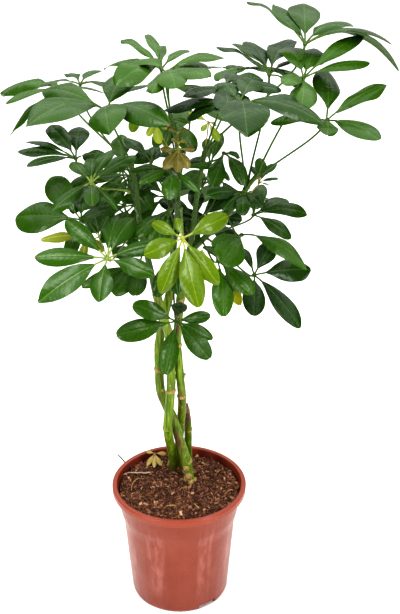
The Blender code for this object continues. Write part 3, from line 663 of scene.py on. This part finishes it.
def speck_tree():
    """Corky specks that lie flat on the bark: how many to the square metre, and their size."""
    tree, given = open_tree("corky specks", ("Per square metre", "Size"))
    spots = put(tree, "GeometryNodeDistributePointsOnFaces",
                {"Mesh": given["Bed"], "Density": given["Per square metre"], "Seed": given["Seed"]},
                out=None).outputs
    grain = put(tree, "GeometryNodeMeshIcoSphere", {"Radius": 0.5, "Subdivisions": 1})
    long_side = put(tree, "FunctionNodeRandomValue", {2: 0.5, 3: 1.5, "Seed": given["Seed"]}, 1,
                    data_type="FLOAT")
    size = put(tree, "ShaderNodeMath", {0: long_side, 1: given["Size"]}, operation="MULTIPLY")
    size = put(tree, "ShaderNodeVectorMath", {0: (0.7, 1.3, 0.35), "Scale": size}, operation="SCALE")
    laid = put(tree, "GeometryNodeInstanceOnPoints",
               {"Points": spots["Points"], "Instance": grain, "Rotation": spots["Rotation"],
                "Scale": size})
    return close_tree(tree, given, laid)


bark = young_bark()
cane_pieces = {}
for number, (name, habit) in enumerate(CANES.items()):
    cane = grow_cane(*habit, random.Random(40 + number))
    for place, way, r in RUBBED_SHOOTS[name]:
        cane.knob(mm(place), Vector(way).normalized(), r * 0.001, 0.7, (0.8, 0.0, 0.0, 0.0))
    cane_pieces[name] = show(name + "_bark", cane.mesh(name + "_bark", bark))
speck_cork = crumbled("corky speck", "#8a6b45", "#b39468", "#d8c19a", 0.6)
specks = speck_tree()
for number, (name, piece) in enumerate(cane_pieces.items()):
    specked = strew(name + "_specks", specks, piece, {
        "Material": speck_cork, "Per square metre": 9000.0, "Size": 0.0011, "Seed": number + 5})
    for made in (piece, specked):
        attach(made, "root")
    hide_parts(name)

# ---------------------------------------------------------------------------------------------------
# Left shoot. It goes on from the front cane: a green stem with long stalks that spread to whorls of
# leathery leaflets, glossy above and dull below, held nearly flat on the ends of their stalks.
# ---------------------------------------------------------------------------------------------------
PETIOLE = 0.0012            # radius of a leaf's stalk
BLADE_WIDTH = 0.37          # share of the leaflet's length, its own little stalk included
BLADE_FROM = 0.155          # share of the leaflet's length that is its own little stalk
STALKLET = (0.00125, 0.0011, 0.00105, 0.0011, 0.0011)       # radii along that little stalk
ARCH = 0.09                 # how high a leaflet arches, as a share of its length
DRIP_TIP_FROM = 0.085       # leaflets longer than this are drawn out to a tip
DRY_TIPS = 0.07             # share of leaflets with a dry tip
HUB = 0.0027                # radius of the joint that the leaflets spread from
STALK_FOOT = 0.0036         # radius of the swelling where a stalk leaves the stem
BLADE_HALF = 0.00034        # half thickness of a blade
TIP_HALF = 0.0007           # half width of a blade at its end
RIB_HALF = 0.0008           # half width of the midrib
RIB_SUNK, RIB_RAISED = 0.00025, 0.0006      # how far it is sunk above and stands out below
WIDEST_AT = 0.58            # share of a blade's length at which it is widest
VEIN_GAP = 7.0              # mm between side veins
SMALL_LEAF = 0.7            # leaves of this size and less have fewer faces
# points across a blade, as shares of its half width, and rows of faces along it
ACROSS, ROWS = (-1.0, -0.88, -0.62, -0.34, -0.10, 0.0, 0.10, 0.34, 0.62, 0.88, 1.0), 13
ACROSS_SMALL, ROWS_SMALL = (-1.0, -0.6, 0.0, 0.6, 1.0), 7


def waxy_leaf(name, deep, lit, under, vein, stalk, roughness=0.28):
    """Leathery blade under a waxy skin: glossy above, dull and paler below, midrib and stalk paler still;
    side veins run out at a slant and are sunk very slightly."""
    made, tree, shader = finish_named(name, 1.45, roughness, 0.32)
    place = put(tree, "ShaderNodeTexCoord", out="Object")
    marks = put(tree, "ShaderNodeVertexColor", out=None, layer_name="mark").outputs
    parts = put(tree, "ShaderNodeSeparateColor", {0: marks["Color"]}, out=None).outputs
    flat = put(tree, "ShaderNodeUVMap", uv_map="blade")
    spot = put(tree, "ShaderNodeSeparateXYZ", {0: flat}, out=None).outputs
    off = put(tree, "ShaderNodeMath", {0: spot["X"]}, operation="ABSOLUTE")
    rib = put(tree, "ShaderNodeMapRange", {0: off, 1: 0.15, 2: 0.7, 3: 0.36, 4: 0.0})
    slant = put(tree, "ShaderNodeMath", {0: off, 1: -0.8, 2: spot["Y"]}, operation="MULTIPLY_ADD")
    turn = put(tree, "ShaderNodeMath", {0: slant, 1: 2 * math.pi / VEIN_GAP}, operation="MULTIPLY")
    swing = put(tree, "ShaderNodeMath", {0: turn}, operation="COSINE")
    veins = put(tree, "ShaderNodeMapRange", {0: swing, 1: 0.80, 2: 1.0, 3: 0.0, 4: 0.036})
    lines = put(tree, "ShaderNodeMath", {0: veins, 1: rib}, operation="ADD")
    # the green varies in clouds of about 24 mm, and from leaflet to leaflet
    cloud = put(tree, "ShaderNodeTexNoise", {"Vector": place, "Scale": every(23.8), "Detail": 3.0})
    shade = put(tree, "ShaderNodeMath", {0: cloud, 1: 0.6, 2: parts["Blue"]}, operation="MULTIPLY_ADD")
    shade = put(tree, "ShaderNodeMapRange", {0: shade, 1: 0.25, 2: 1.35})
    dry = put(tree, "ShaderNodeMapRange", {0: marks["Alpha"], 1: 0.3, 2: 0.9})
    blade = linear(deep)
    for share, colour in ((shade, lit), (parts["Red"], under), (lines, vein), (parts["Green"], stalk),
                          (dry, "#5f4424")):
        blade = put(tree, "ShaderNodeMix", {0: share, 6: blade, 7: linear(colour)}, 2, data_type="RGBA")
    # the wax is worn unevenly, in patches of about 4 mm
    dull = put(tree, "ShaderNodeMapRange", {0: parts["Red"], 3: roughness - 0.08, 4: 0.54})
    skin = put(tree, "ShaderNodeTexNoise", {"Vector": place, "Scale": every(3.85), "Detail": 3.0})
    dull = put(tree, "ShaderNodeMath", {0: skin, 1: 0.16, 2: dull}, operation="MULTIPLY_ADD")
    # the blade is quilted: it bulges between its side veins and buckles slightly over 24 mm
    quilt = put(tree, "ShaderNodeMath", {0: skin, 1: 0.05, 2: cloud}, operation="MULTIPLY_ADD")
    quilt = put(tree, "ShaderNodeMath", {0: swing, 1: -0.018, 2: quilt}, operation="MULTIPLY_ADD")
    bumps = put(tree, "ShaderNodeBump", {"Strength": 0.8, "Distance": 0.0022, "Height": quilt})
    feed(tree, shader, {"Base Color": blade, "Roughness": dull, "Normal": bumps})
    return made


def blade_share(s, point):
    """Half width of a blade, as a share of its widest, at a share s of its length: rounded at its end or,
    as point goes to 1, drawn out to a drip tip."""
    if s < WIDEST_AT:
        return math.sin(math.pi / 2 * s / WIDEST_AT) ** 1.08
    end = (s - WIDEST_AT) / (1 - WIDEST_AT)
    return (1 - point) * max(0.0, 1 - end ** 2.4) ** 0.52 + point * (1 - end ** 2.0) ** 1.1


def grow_leaflet(growth, hub, along, face, length, wide, arch, small, tone, draw):
    """One leaflet: its own little stalk, then a closed blade of two sheets, the upper and the lower. It
    arches along its length and bends, twists, folds and waves a little, each by its own draw."""
    up = (face - face.dot(along) * along).normalized()
    side = up.cross(along)
    sway, twist, roll = draw.uniform(-0.03, 0.03), draw.uniform(-0.18, 0.18), draw.uniform(-0.14, 0.14)
    fold, cup = draw.uniform(0.04, 0.20), draw.uniform(0.16, 0.42)
    ripple, phase, nod = draw.uniform(0.0, 0.028), draw.uniform(0, 6.28), draw.uniform(-0.02, 0.02)
    dry = 1.0 if draw.random() < DRY_TIPS else 0.0
    point = draw.uniform(0.5, 1.0) if length > DRIP_TIP_FROM else draw.uniform(0.0, 0.35)

    def course(t):
        s = max(0.0, (t - BLADE_FROM) / (1 - BLADE_FROM))
        return (hub + along * (length * t) + up * (length * (4 * t * (1 - t) * arch - nod * s ** 3))
                + side * (sway * length * s * s))

    stalk = [course(BLADE_FROM * 1.25 * i / 4) for i in range(5)]
    growth.tube(stalk, [r * small for r in STALKLET], 6, (0, 1, tone, 0))
    columns, count = (ACROSS, ROWS) if small > SMALL_LEAF else (ACROSS_SMALL, ROWS_SMALL)
    last = len(columns) - 1
    body = BLADE_HALF * max(small, SMALL_LEAF)
    sheets = ([], [])
    for i in range(count + 1):
        s = min(1 - (1 - i / count) ** 1.4, 0.993)      # rows lie closer towards the tip
        t = BLADE_FROM + (1 - BLADE_FROM) * s
        here = course(t)
        way = (course(t + 0.01) - course(t - 0.01)).normalized()
        flat = (side - side.dot(way) * way).normalized()
        rise = way.cross(flat) if way.cross(flat).dot(up) > 0 else flat.cross(way)
        lean = twist * s + roll * min(1.0, 5 * s)
        flat, rise = (flat * math.cos(lean) + rise * math.sin(lean),
                      rise * math.cos(lean) - flat * math.sin(lean))
        half = max(blade_share(s, point) * wide * length * 0.5, TIP_HALF * small)
        for sheet, turn in zip(sheets, (1, -1)):
            row = []
            for k, u in enumerate(columns):
                rim = k in (0, last) or i in (0, count)
                if turn < 0 and rim:
                    row.append(sheets[0][i][k])
                    continue
                crown = half * (fold * abs(u) - cup * u * u)
                crown += length * ripple * math.sin(9.5 * s + phase + (2.1 if u > 0 else 0)) * u * u
                rib = math.exp(-(u * half / RIB_HALF) ** 2)
                rib *= (RIB_SUNK if turn > 0 else RIB_RAISED * (1.1 - s)) * small
                depth = turn * body * (1 - u ** 4) - rib
                place = here + flat * (u * half) + rise * (crown + (depth if 0 < i < count else 0.0))
                row.append(growth.point(place, (u * half * 1000, s * length * 1000), rim))
            sheet.append(row)
    for sheet, under in zip(sheets, (0, 1)):
        for i in range(count):
            for k in range(last):
                a, b, c, d = sheet[i][k], sheet[i + 1][k], sheet[i + 1][k + 1], sheet[i][k + 1]
                growth.faces.append((a, b, c, d) if under == 0 else (d, c, b, a))
                growth.marks.append((under, 0, tone, dry if i == count - 1 else 0.0))


def grow_leaf(growth, hub, axis, foot, leaflets, small, draw):
    """Stalk, joint and leaflets of one leaf; the leaflets are a list of them or a whorl's rule."""
    hub = mm(hub)
    face = aim(*axis)
    reach = (hub - foot).length
    # the stalk rises a little from its foot and meets the hub along the leaf's axis
    b = foot + (hub - foot) * 0.33 + Vector((0, 0, 1)) * reach * 0.06
    c = hub - face * reach * 0.28
    steps, path, radii = 14, [], []
    for k in range(steps + 1):
        t, u = k / steps, 1 - k / steps
        path.append(foot * u ** 3 + b * (3 * t * u * u) + c * (3 * t * t * u) + hub * t ** 3)
        radii.append(PETIOLE * small * (0.92 + 0.9 * math.exp(-t * 14) + 0.35 * math.exp(-u * 20)))
    tone = draw.uniform(0.0, 0.8)
    growth.tube(path, radii, 8, (0, 0.75, tone, 0))
    growth.knob(hub, face, HUB * small, 0.8, (0, 1, tone, 0))
    if isinstance(leaflets[0], (int, float)):
        number, start, sweep, length, droop = leaflets
        for k in range(number):
            heading = start + (sweep * k / number if sweep == 360 else sweep * k / (number - 1))
            flat = aim(heading, 0)
            flat = (flat - flat.dot(face) * face).normalized()
            along = flat * math.cos(math.radians(droop)) - face * math.sin(math.radians(droop))
            grow_leaflet(growth, hub, along.normalized(), face, length * 0.001 * (1 - 0.10 * (k % 2)),
                         BLADE_WIDTH, ARCH, small, tone + draw.uniform(0, 0.2), draw)
        return
    for heading, pitch, length, *shape in leaflets:
        wide = BLADE_WIDTH * (shape[0] if shape else 1.0)
        arch = shape[1] if len(shape) > 1 else ARCH
        grow_leaflet(growth, hub, aim(heading, pitch), face, length * 0.001, wide, arch, small,
                     tone + draw.uniform(0, 0.2), draw)


def aim(heading, pitch):
    """Unit vector; heading in plan from +X towards +Y, pitch upwards."""
    h, p = math.radians(heading), math.radians(pitch)
    return Vector((math.cos(p) * math.cos(h), math.cos(p) * math.sin(h), math.sin(p)))


def on_top(cane):
    """First two points of the shoot that goes on from a cane's top."""
    low, top = [mm(p) for p in CANES[cane][0][-2:]]
    way = (top - low).normalized()
    return [top + way * 0.0004, top + way * 0.007]


def point_at(path, z):
    """Point of a rising path at height z."""
    for a, b in zip(path, path[1:]):
        if a.z <= z <= b.z:
            return a.lerp(b, (z - a.z) / max(b.z - a.z, 1e-9))
    return path[-1].copy() if z > path[-1].z else path[0].copy()


def grow_shoot(name, node, stems, leaves, seed):
    """A shoot's stems with all its leaves, as one piece."""
    draw = random.Random(seed)
    shoot = Growth()
    paths = []
    for cane, course, r_low, r_top in stems:
        path = smooth((on_top(cane) if cane else []) + [mm(p) for p in course], 8)
        paths.append(path)
        n = len(path)
        shoot.tube(path, [r_low + (r_top - r_low) * i / (n - 1) for i in range(n)], 14, (0, 0.8, 0.4, 0),
                   lambda p, out: noise.noise(p * 90) * 0.0003)
    for hub, axis, which, foot_z, leaflets in leaves:
        foot = point_at(paths[which], foot_z * 0.001)
        shoot.knob(foot, aim(axis[0], 30), STALK_FOOT, 0.9, (0, 0.9, 0.3, 0.1))
        grow_leaf(shoot, hub, axis, foot, leaflets, 1.0, draw)
    piece = show(name, shoot.mesh(name, dark_leaf))
    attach(piece, "root")
    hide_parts(node)


dark_leaf = waxy_leaf("waxy dark leaf", "#102c05", "#375a0d", "#43602a", "#587c2e", "#3c5614")
# a stem: the cane it goes on from, its course in mm, its radius at the foot and at the top
LEFT_STEMS = [
    ("cane_front", [(-31, -2, 459), (-38, -6, 497), (-42, -10, 525), (-45, -16, 566), (-50, -20, 601)],
     0.0044, 0.0026)]
# a leaf: its hub in mm, heading and pitch of its axis in degrees, which stem, the height in mm at which
# its stalk leaves it, and its leaflets: heading and pitch in degrees, length in mm, then a share of the
# usual width and an arch of its own where these differ. A whorl has a rule in their place: how many
# leaflets, first heading, sweep, length in mm, and how far they droop.
LEFT_LEAVES = [
    ((-71, -50, 665), (-110, 62), 0, 593, [(-134, 6, 112, 1.2, 0.15), (141, 1, 98, 0.85, 0.13),
     (-83, 3, 88, 1.25, 0.18), (-48, 5, 103, 0.92, 0.16), (76, 20, 68, 1.35)]),
    ((-127, 50, 658), (-170, 76), 0, 587, [(150, -14, 96, 0.9, 0.13), (174, -40, 85, 0.6),
     (-165, -9, 67, 0.8), (124, -13, 70), (95, -14, 60), (36, -15, 54)]),
    ((-115, 120, 643), (100, 76), 0, 572, [(73, -1, 62, 0.9), (109, -5, 62, 0.8),
     (60, -20, 74, 0.7), (150, -10, 62), (20, -10, 52)]),
    ((-115, 30, 583), (-95, 76), 0, 557, [(147, 5, 74, 0.45), (158, -1, 74, 0.85),
     (-144, 4, 64, 0.9), (127, 23, 62, 1.1), (90, 13, 70), (-27, 17, 42)]),
    ((-107, -20, 529), (-105, 45), 0, 517, [(157, -7, 85, 1.35), (127, 23, 74, 1.15),
     (88, 6, 54), (40, 0, 50), (-109, -41, 50)]),
    ((-43, -30, 477), (-80, 50), 0, 489, [(-116, -10, 60, 1.1), (-152, -8, 72, 0.6),
     (-92, -10, 58, 1.05), (130, 5, 50)]),
    ((-64, 58, 559), (-90, 62), 0, 537, (7, -9, 360, 64, 8)),
    ((-65, 90, 502), (-90, 70), 0, 481, (5, 60, 220, 64, 10)),
    ((-45, -50, 559), (-90, 55), 0, 527, (2, -165, 40, 62, 12)),
    ((-100, 65, 542), (165, 60), 0, 509, (5, 60, 190, 70, 10)),
    ((-52, 22, 566), (-90, 60), 0, 545, (3, -178, 60, 48, 10)),
]
grow_shoot("left_shoot", "shoot_left", LEFT_STEMS, LEFT_LEAVES, 101)

# ---------------------------------------------------------------------------------------------------
# Middle shoot. It goes on from the diagonal cane, leans to the front and carries the leaves over and
# before the canes, the small one low on the canes among them.
# ---------------------------------------------------------------------------------------------------
MIDDLE_STEMS = [
    ("cane_diagonal", [(-7, 28, 452), (-4, 26, 477), (0, 14, 517), (2, -4, 557), (3, -24, 597),
                       (3, -38, 619)], 0.0044, 0.0024)]
MIDDLE_LEAVES = [
    ((-15, 0, 696), (-80, 80), 0, 605, [(126, 10, 82, 0.45), (103, 15, 76, 0.48),
     (145, -11, 82, 0.55, 0.14), (-129, -2, 70, 1.3, 0.16), (66, 2, 72, 0.6), (93, 8, 62, 0.6)]),
    ((-9, -50, 707), (-75, 75), 0, 617, [(-103, -4, 60, 0.8), (48, -4, 62), (-52, 8, 72, 0.95),
     (-81, 1, 66, 1.25, 0.14), (32, 4, 72, 0.85, 0.13), (122, -1, 60)]),
    ((-10, 80, 652), (90, 75), 0, 593, (5, 10, 200, 66, 8)),
    ((-3, -80, 612), (-90, 50), 0, 577, [(-140, -8, 44, 0.75), (-92, -26, 44, 1.2),
     (153, -12, 52, 0.6), (-48, -20, 44, 0.6), (26, -7, 50, 0.45)]),
    ((-30, 50, 572), (-90, 62), 0, 525, [(126, 14, 56, 0.8), (85, 9, 40), (38, 6, 48),
     (-111, -32, 42)]),
    ((0, -90, 437), (-85, 35), 0, 457, [(-171, 28, 54, 1.05), (-168, -9, 68), (-101, -31, 68, 0.85),
     (-51, -19, 64, 0.95), (-37, -5, 52, 0.75), (-17, 17, 42, 0.9), (86, -1, 50)]),
    ((15, 125, 612), (90, 60), 0, 553, (3, -10, 110, 84, 6)),
    ((-6, -72, 563), (-90, 50), 0, 542, (3, -138, 40, 50, 16)),
    ((-12, 72, 519), (-90, 58), 0, 497, (5, 48, 172, 62, 8)),
    ((-4, -70, 509), (-95, 50), 0, 497, (3, -110, 50, 50, 22)),
    ((-6, 55, 621), (-70, 55), 0, 582, [(-61, -24, 56, 1.1), (-102, -37, 38), (25, -15, 24),
     (-124, -30, 42)]),
]
grow_shoot("middle_shoot", "shoot_middle", MIDDLE_STEMS, MIDDLE_LEAVES, 202)

# ---------------------------------------------------------------------------------------------------
# Right shoot. It goes on from the right cane and forks low down; its leaves have long stalks and make
# the whole right side and the plant's highest whorl.
# ---------------------------------------------------------------------------------------------------
RIGHT_STEMS = [
    ("cane_right", [(6, 20, 452), (16, 16, 473), (34, 8, 497), (54, -4, 525), (68, -13, 547),
                    (78, -20, 567), (92, -22, 587)], 0.0044, 0.0026),
    (None, [(12, 17, 466), (18, 12, 497), (22, 4, 542), (32, 0, 603)], 0.0036, 0.0024)]
RIGHT_LEAVES = [
    ((52, -45, 689), (-80, 72), 1, 597, [(-131, 4, 62, 1.1), (-88, -4, 76), (78, -3, 60),
     (46, -4, 60), (-73, -3, 66), (-5, -3, 60, 0.9)]),
    ((66, -100, 689), (-85, 72), 0, 565, [(-88, 0, 104, 1.3, 0.15), (-28, -4, 94, 0.8, 0.14),
     (152, -14, 90, 0.85), (167, -19, 58), (75, 2, 80), (105, 0, 76), (20, -12, 80)]),
    ((104, 50, 675), (90, 70), 0, 568, [(117, 11, 84, 0.8), (107, 12, 82, 0.9),
     (71, 15, 82, 1.05), (50, 0, 78), (-40, -10, 60), (135, 10, 84, 0.42)]),
    ((163, -20, 645), (-70, 62), 0, 569, [(85, 19, 94, 0.95), (37, 16, 91, 0.64),
     (-46, -2, 75, 1.2), (-93, 0, 48, 1.3), (156, -10, 66, 0.7)]),
    ((141, 30, 715), (60, 78), 1, 601, [(131, 17, 100, 0.5), (108, 13, 92, 0.8),
     (89, 15, 92, 1.1), (20, -6, 108, 0.95, 0.17), (9, -17, 114, 0.9, 0.24),
     (50, 3, 90, 1.2, 0.13)]),
    ((138, 0, 686), (-60, 72), 0, 583, [(40, 18, 98, 0.55), (25, 4, 84, 0.7), (98, 8, 84, 1.1),
     (-95, -8, 80), (-116, 7, 56), (76, 8, 80, 1.1)]),
    ((88, -30, 465), (-70, 50), 0, 495, [(106, 20, 46, 0.6), (61, 28, 52, 1.2), (27, -8, 77),
     (-48, -27, 85, 0.8), (-94, -21, 62, 1.2), (-140, -1, 56)]),
    ((72, -60, 528), (-60, 55), 0, 527, [(-37, -12, 88, 0.72, 0.17), (-109, -7, 66, 1.4),
     (-132, 3, 50, 0.9)]),
    ((88, 20, 518), (-85, 58), 0, 492, [(75, 24, 50, 0.95), (41, 3, 56, 1.05),
     (18, -6, 67, 0.8, 0.16), (-31, -20, 53, 1.1, 0.12), (91, 25, 38)]),
    ((72, -80, 586), (-95, 60), 0, 549, [(-149, 6, 46, 1.1), (-124, -12, 40), (-65, -1, 44, 0.9),
     (-92, -10, 46)]),
    ((68, 90, 669), (90, 78), 1, 587, (5, 5, 330, 76, 6)),
    ((82, 90, 517), (80, 60), 0, 509, (5, 40, 130, 60, 12)),
    ((50, 105, 527), (90, 50), 1, 487, (3, 70, 80, 64, 12)),
    ((24, 62, 494), (-90, 60), 1, 475, (6, -35, 215, 60, 8)),
    ((4, 92, 502), (-90, 58), 1, 484, (4, -130, 80, 60, 8)),
    ((46, -70, 501), (-70, 45), 0, 489, [(-82, -36, 68), (-50, -20, 60), (105, -2, 46)]),
    ((52, -40, 615), (-60, 60), 1, 585, [(-59, -31, 46, 1.1, 0.18), (-107, -27, 50, 1.1),
     (41, -23, 26)]),
    ((38, 10, 582), (-90, 60), 1, 537, [(75, 19, 58, 0.6), (96, 19, 48, 0.7), (125, -6, 40),
     (31, -39, 34)]),
]
grow_shoot("right_shoot", "shoot_right", RIGHT_STEMS, RIGHT_LEAVES, 303)

# ---------------------------------------------------------------------------------------------------
# Leaves of another colour: a young lime leaf before the canes, fresh green leaves low on the left, a
# soft bronze whorl, small olive ones and buds, and an old leaf that is turning yellow.
# ---------------------------------------------------------------------------------------------------
# name, upper side at its deepest and lightest, underside, veins, stalk, roughness
LEAF_FINISHES = {
    "lime": ("young lime leaf", "#3e5806", "#5a700a", "#6a7a38", "#8c9a44", "#8c943e", 0.26),
    "fresh": ("fresh green leaf", "#1f4007", "#375a10", "#48662c", "#7a9448", "#86964a", 0.30),
    "bronze": ("soft bronze leaf", "#5f5822", "#837838", "#7c7038", "#a89858", "#8c8438", 0.34),
    "fading": ("fading leaf", "#5e6e17", "#868a22", "#a4a048", "#c8cc60", "#94983c", 0.42),
    "yellow": ("yellowing leaf", "#a9b010", "#d2c61c", "#b5a63a", "#dcd25a", "#a8a040", 0.45),
    "bud": ("opening bud leaf", "#234a0c", "#44701e", "#6a7a3a", "#8c9448", "#9c883a", 0.34),
    "olive": ("young olive leaf", "#5f7f16", "#8f9a26", "#87903c", "#b4b45a", "#8c7a30", 0.38),
}
finishes = {key: waxy_leaf(*words) for key, words in LEAF_FINISHES.items()}
# node: name, finish and slot of its piece, and its leaves: hub, axis, the stalk's foot in mm, the
# leaflets as above, and the leaf's size against a grown one
COLOURED_LEAVES = {
    "leaf_lime": ("lime_leaf", "lime", "lime_leaf", [
        ((9, -160, 568), (-90, 25), (5, -2, 535), [
            (149, 15, 38, 0.9), (-146, -9, 46, 1.2), (-118, -45, 62, 0.87), (-75, -42, 76, 0.86),
            (-43, -34, 62, 0.8), (32, 13, 56), (108, 31, 26)], 1.0)]),
    "leaf_fresh_low": ("fresh_leaf_low", "fresh", "fresh_leaf", [
        ((-71, -120, 527), (-100, 50), (-45, -18, 517), [
            (149, 31, 62, 0.85), (-171, 4, 76, 0.8), (-148, -21, 87, 0.95), (-101, -37, 52, 1.3),
            (-26, -8, 55), (8, 14, 56), (65, 24, 62), (82, 26, 62)], 1.0),
        ((-81, -90, 538), (-90, 60), (-71, -117, 526), [
            (150, 45, 26), (110, 50, 24), (60, 45, 26)], 0.6)]),
    "leaf_fresh_high": ("fresh_leaf_high", "fresh", "fresh_leaf", [
        ((-90, -60, 589), (-90, 60), (-52, -22, 563), [
            (-139, -20, 54), (-85, -11, 46), (123, 11, 46), (93, 13, 46), (27, 22, 58), (68, 21, 56, 0.8),
            (-41, -28, 44, 0.5)], 1.0)]),
    "leaf_bronze": ("bronze_leaf", "bronze", "bronze_leaf", [
        ((4, -72, 631), (-90, 20), (3, -43, 621), [
            (-125, -29, 30, 1.1), (-92, -39, 28, 1.15), (-64, -30, 28, 1.1), (155, -10, 22, 0.8),
            (39, -13, 22, 0.8)], 0.6),
        ((4, -72, 638), (-90, 40), (4, -72, 631), [(129, 5, 12, 1.2), (45, 3, 12, 1.2)], 0.6),
        ((3, -66, 647), (-90, 40), (4, -72, 638), [(145, 7, 12), (37, 2, 12), (-92, -16, 10)], 0.6)]),
    "leaf_fading": ("fading_leaf", "fading", "yellow_leaf", [
        ((-98, -45, 518), (-100, 60), (-48, -17, 528), [
            (-162, 6, 53, 0.7), (-52, -8, 34, 0.8), (-100, -28, 34, 0.8)], 0.8)]),
    "bud_right": ("right_buds", "bud", "lime_leaf", [
        ((92, -10, 569), (60, 70), (82, -17, 559), [
            (104, 20, 30), (82, 34, 34, 1.2), (40, 32, 32), (30, 1, 26), (-60, 10, 20)], 0.6)]),
    "young_left": ("young_leaf_left", "olive", "lime_leaf", [
        ((-22, -10, 640), (-90, 40), (-3, -18, 601), [
            (-120, -35, 20, 1.1), (-76, -49, 26, 1.1), (16, -36, 16)], 0.6),
        ((-43, 20, 643), (-90, 40), (-3, -18, 601), [
            (-108, -51, 26, 1.3), (153, -30, 14), (29, -41, 14)], 0.6)]),
    "young_right": ("young_leaf_right", "olive", "lime_leaf", [
        ((36, 10, 633), (-90, 40), (33, 4, 607), [
            (144, 13, 28, 0.8), (-135, -32, 14, 1.3), (43, -27, 14, 0.9), (-42, -50, 24, 1.1)], 0.6)]),
    "leaf_yellow": ("yellow_leaf", "yellow", "yellow_leaf", [
        ((52, -20, 461), (-70, 50), (28, 2, 481), [
            (-67, -19, 52, 0.9), (106, -12, 30, 0.8), (-160, -5, 26, 0.8)], 0.8)]),
}
for number, (node, (piece_name, finish, slot, leaves)) in enumerate(COLOURED_LEAVES.items()):
    draw = random.Random(500 + number)
    growth = Growth()
    for hub, axis, foot, leaflets, small in leaves:
        grow_leaf(growth, hub, axis, mm(foot), leaflets, small, draw)
    piece = show(piece_name, growth.mesh(piece_name, finishes[finish]))
    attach(piece, "root")
    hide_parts(node)

# ---------------------------------------------------------------------------------------------------
# Seedling. A pale stray sprout that came up in the peat behind the canes, with one small whorl.
# ---------------------------------------------------------------------------------------------------
sprout = Growth()
grow_leaf(sprout, (-33, 58, 164), (-90, 50), mm((-34, 60, 146)), [
    (-120, -22, 21, 0.8), (-90, -28, 21, 0.75), (-62, -22, 21, 0.8), (10, -8, 16), (150, -6, 13)],
    0.5, random.Random(900))
pale_leaf = waxy_leaf("pale seedling leaf", "#7a6430", "#aa9658", "#9c8a50", "#c8b680", "#968248", 0.5)
seedling = show("stray_seedling", sprout.mesh("stray_seedling", pale_leaf))
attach(seedling, "root")
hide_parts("seedling")

# ---------------------------------------------------------------------------------------------------
# Studio: a plain pale floor, a key light over the plant, two tall soft boxes at the front corners, a
# wide soft light overhead, a backdrop that glows behind, and the camera, looking down at the plant.
# ---------------------------------------------------------------------------------------------------
floor_mesh = bpy.data.meshes.new("studio_floor")
floor_mesh.from_pydata([(-14, -14, 0), (14, -14, 0), (14, 14, 0), (-14, 14, 0)], [], [(0, 1, 2, 3)])
# matt white paper, which spreads the light and takes a soft shadow
paper, paper_tree, paper_shader = finish_named("pale paper", 1.5, 0.9)
feed(paper_tree, paper_shader, {"Base Color": linear("#fcfcfb")})
floor_mesh.materials.append(paper)
show("studio_floor", floor_mesh)

# each lamp: where it stands, what it points at, its width and height in metres, its power in watts
for name, place, aim_at, width, tall, power in (
        ("key", (-0.4, -0.9, 2.7), (0.0, 0.0, 0.4), 1.1, 1.1, 32.0),
        ("soft_box_left", (-1.5, -1.5, 1.0), (0.0, 0.0, 0.3), 0.40, 1.4, 18.0),
        ("soft_box_right", (1.5, -1.5, 1.0), (0.0, 0.0, 0.3), 0.40, 1.4, 25.0),
        ("overhead", (0.0, 0.9, 3.2), (0.0, 0.9, 0.0), 6.0, 6.0, 205.0),
        ("backdrop", (0.0, 3.6, 1.9), (0.0, 0.0, 1.0), 6.5, 3.2, 32.0)):
    lamp = bpy.data.lights.new(name, "AREA")
    lamp.shape, lamp.size, lamp.size_y, lamp.energy = "RECTANGLE", width, tall, power
    holder = bpy.data.objects.new(name, lamp)
    holder.location = place
    holder.rotation_euler = (Vector(aim_at) - Vector(place)).to_track_quat("-Z", "Y").to_euler()
    bpy.context.scene.collection.objects.link(holder)

world = bpy.data.worlds.new("studio")
bpy.context.scene.world = world
world.use_nodes = True
feed(world.node_tree, world.node_tree.nodes["Background"],
     {"Color": (1.0, 1.0, 1.0, 1.0), "Strength": 0.10})
bpy.context.scene.view_settings.view_transform = "Standard"
bpy.context.scene.view_settings.look = "High Contrast"

lens = bpy.data.cameras.new("camera")
lens.sensor_fit, lens.sensor_height, lens.lens = "VERTICAL", 36.0, 73.0
camera = bpy.data.objects.new("camera", lens)
camera.location = (0.0265, -1.31, 1.075)
camera.rotation_euler = (math.radians(90 - 26.95), 0, 0)
bpy.context.scene.collection.objects.link(camera)
bpy.context.scene.camera = camera
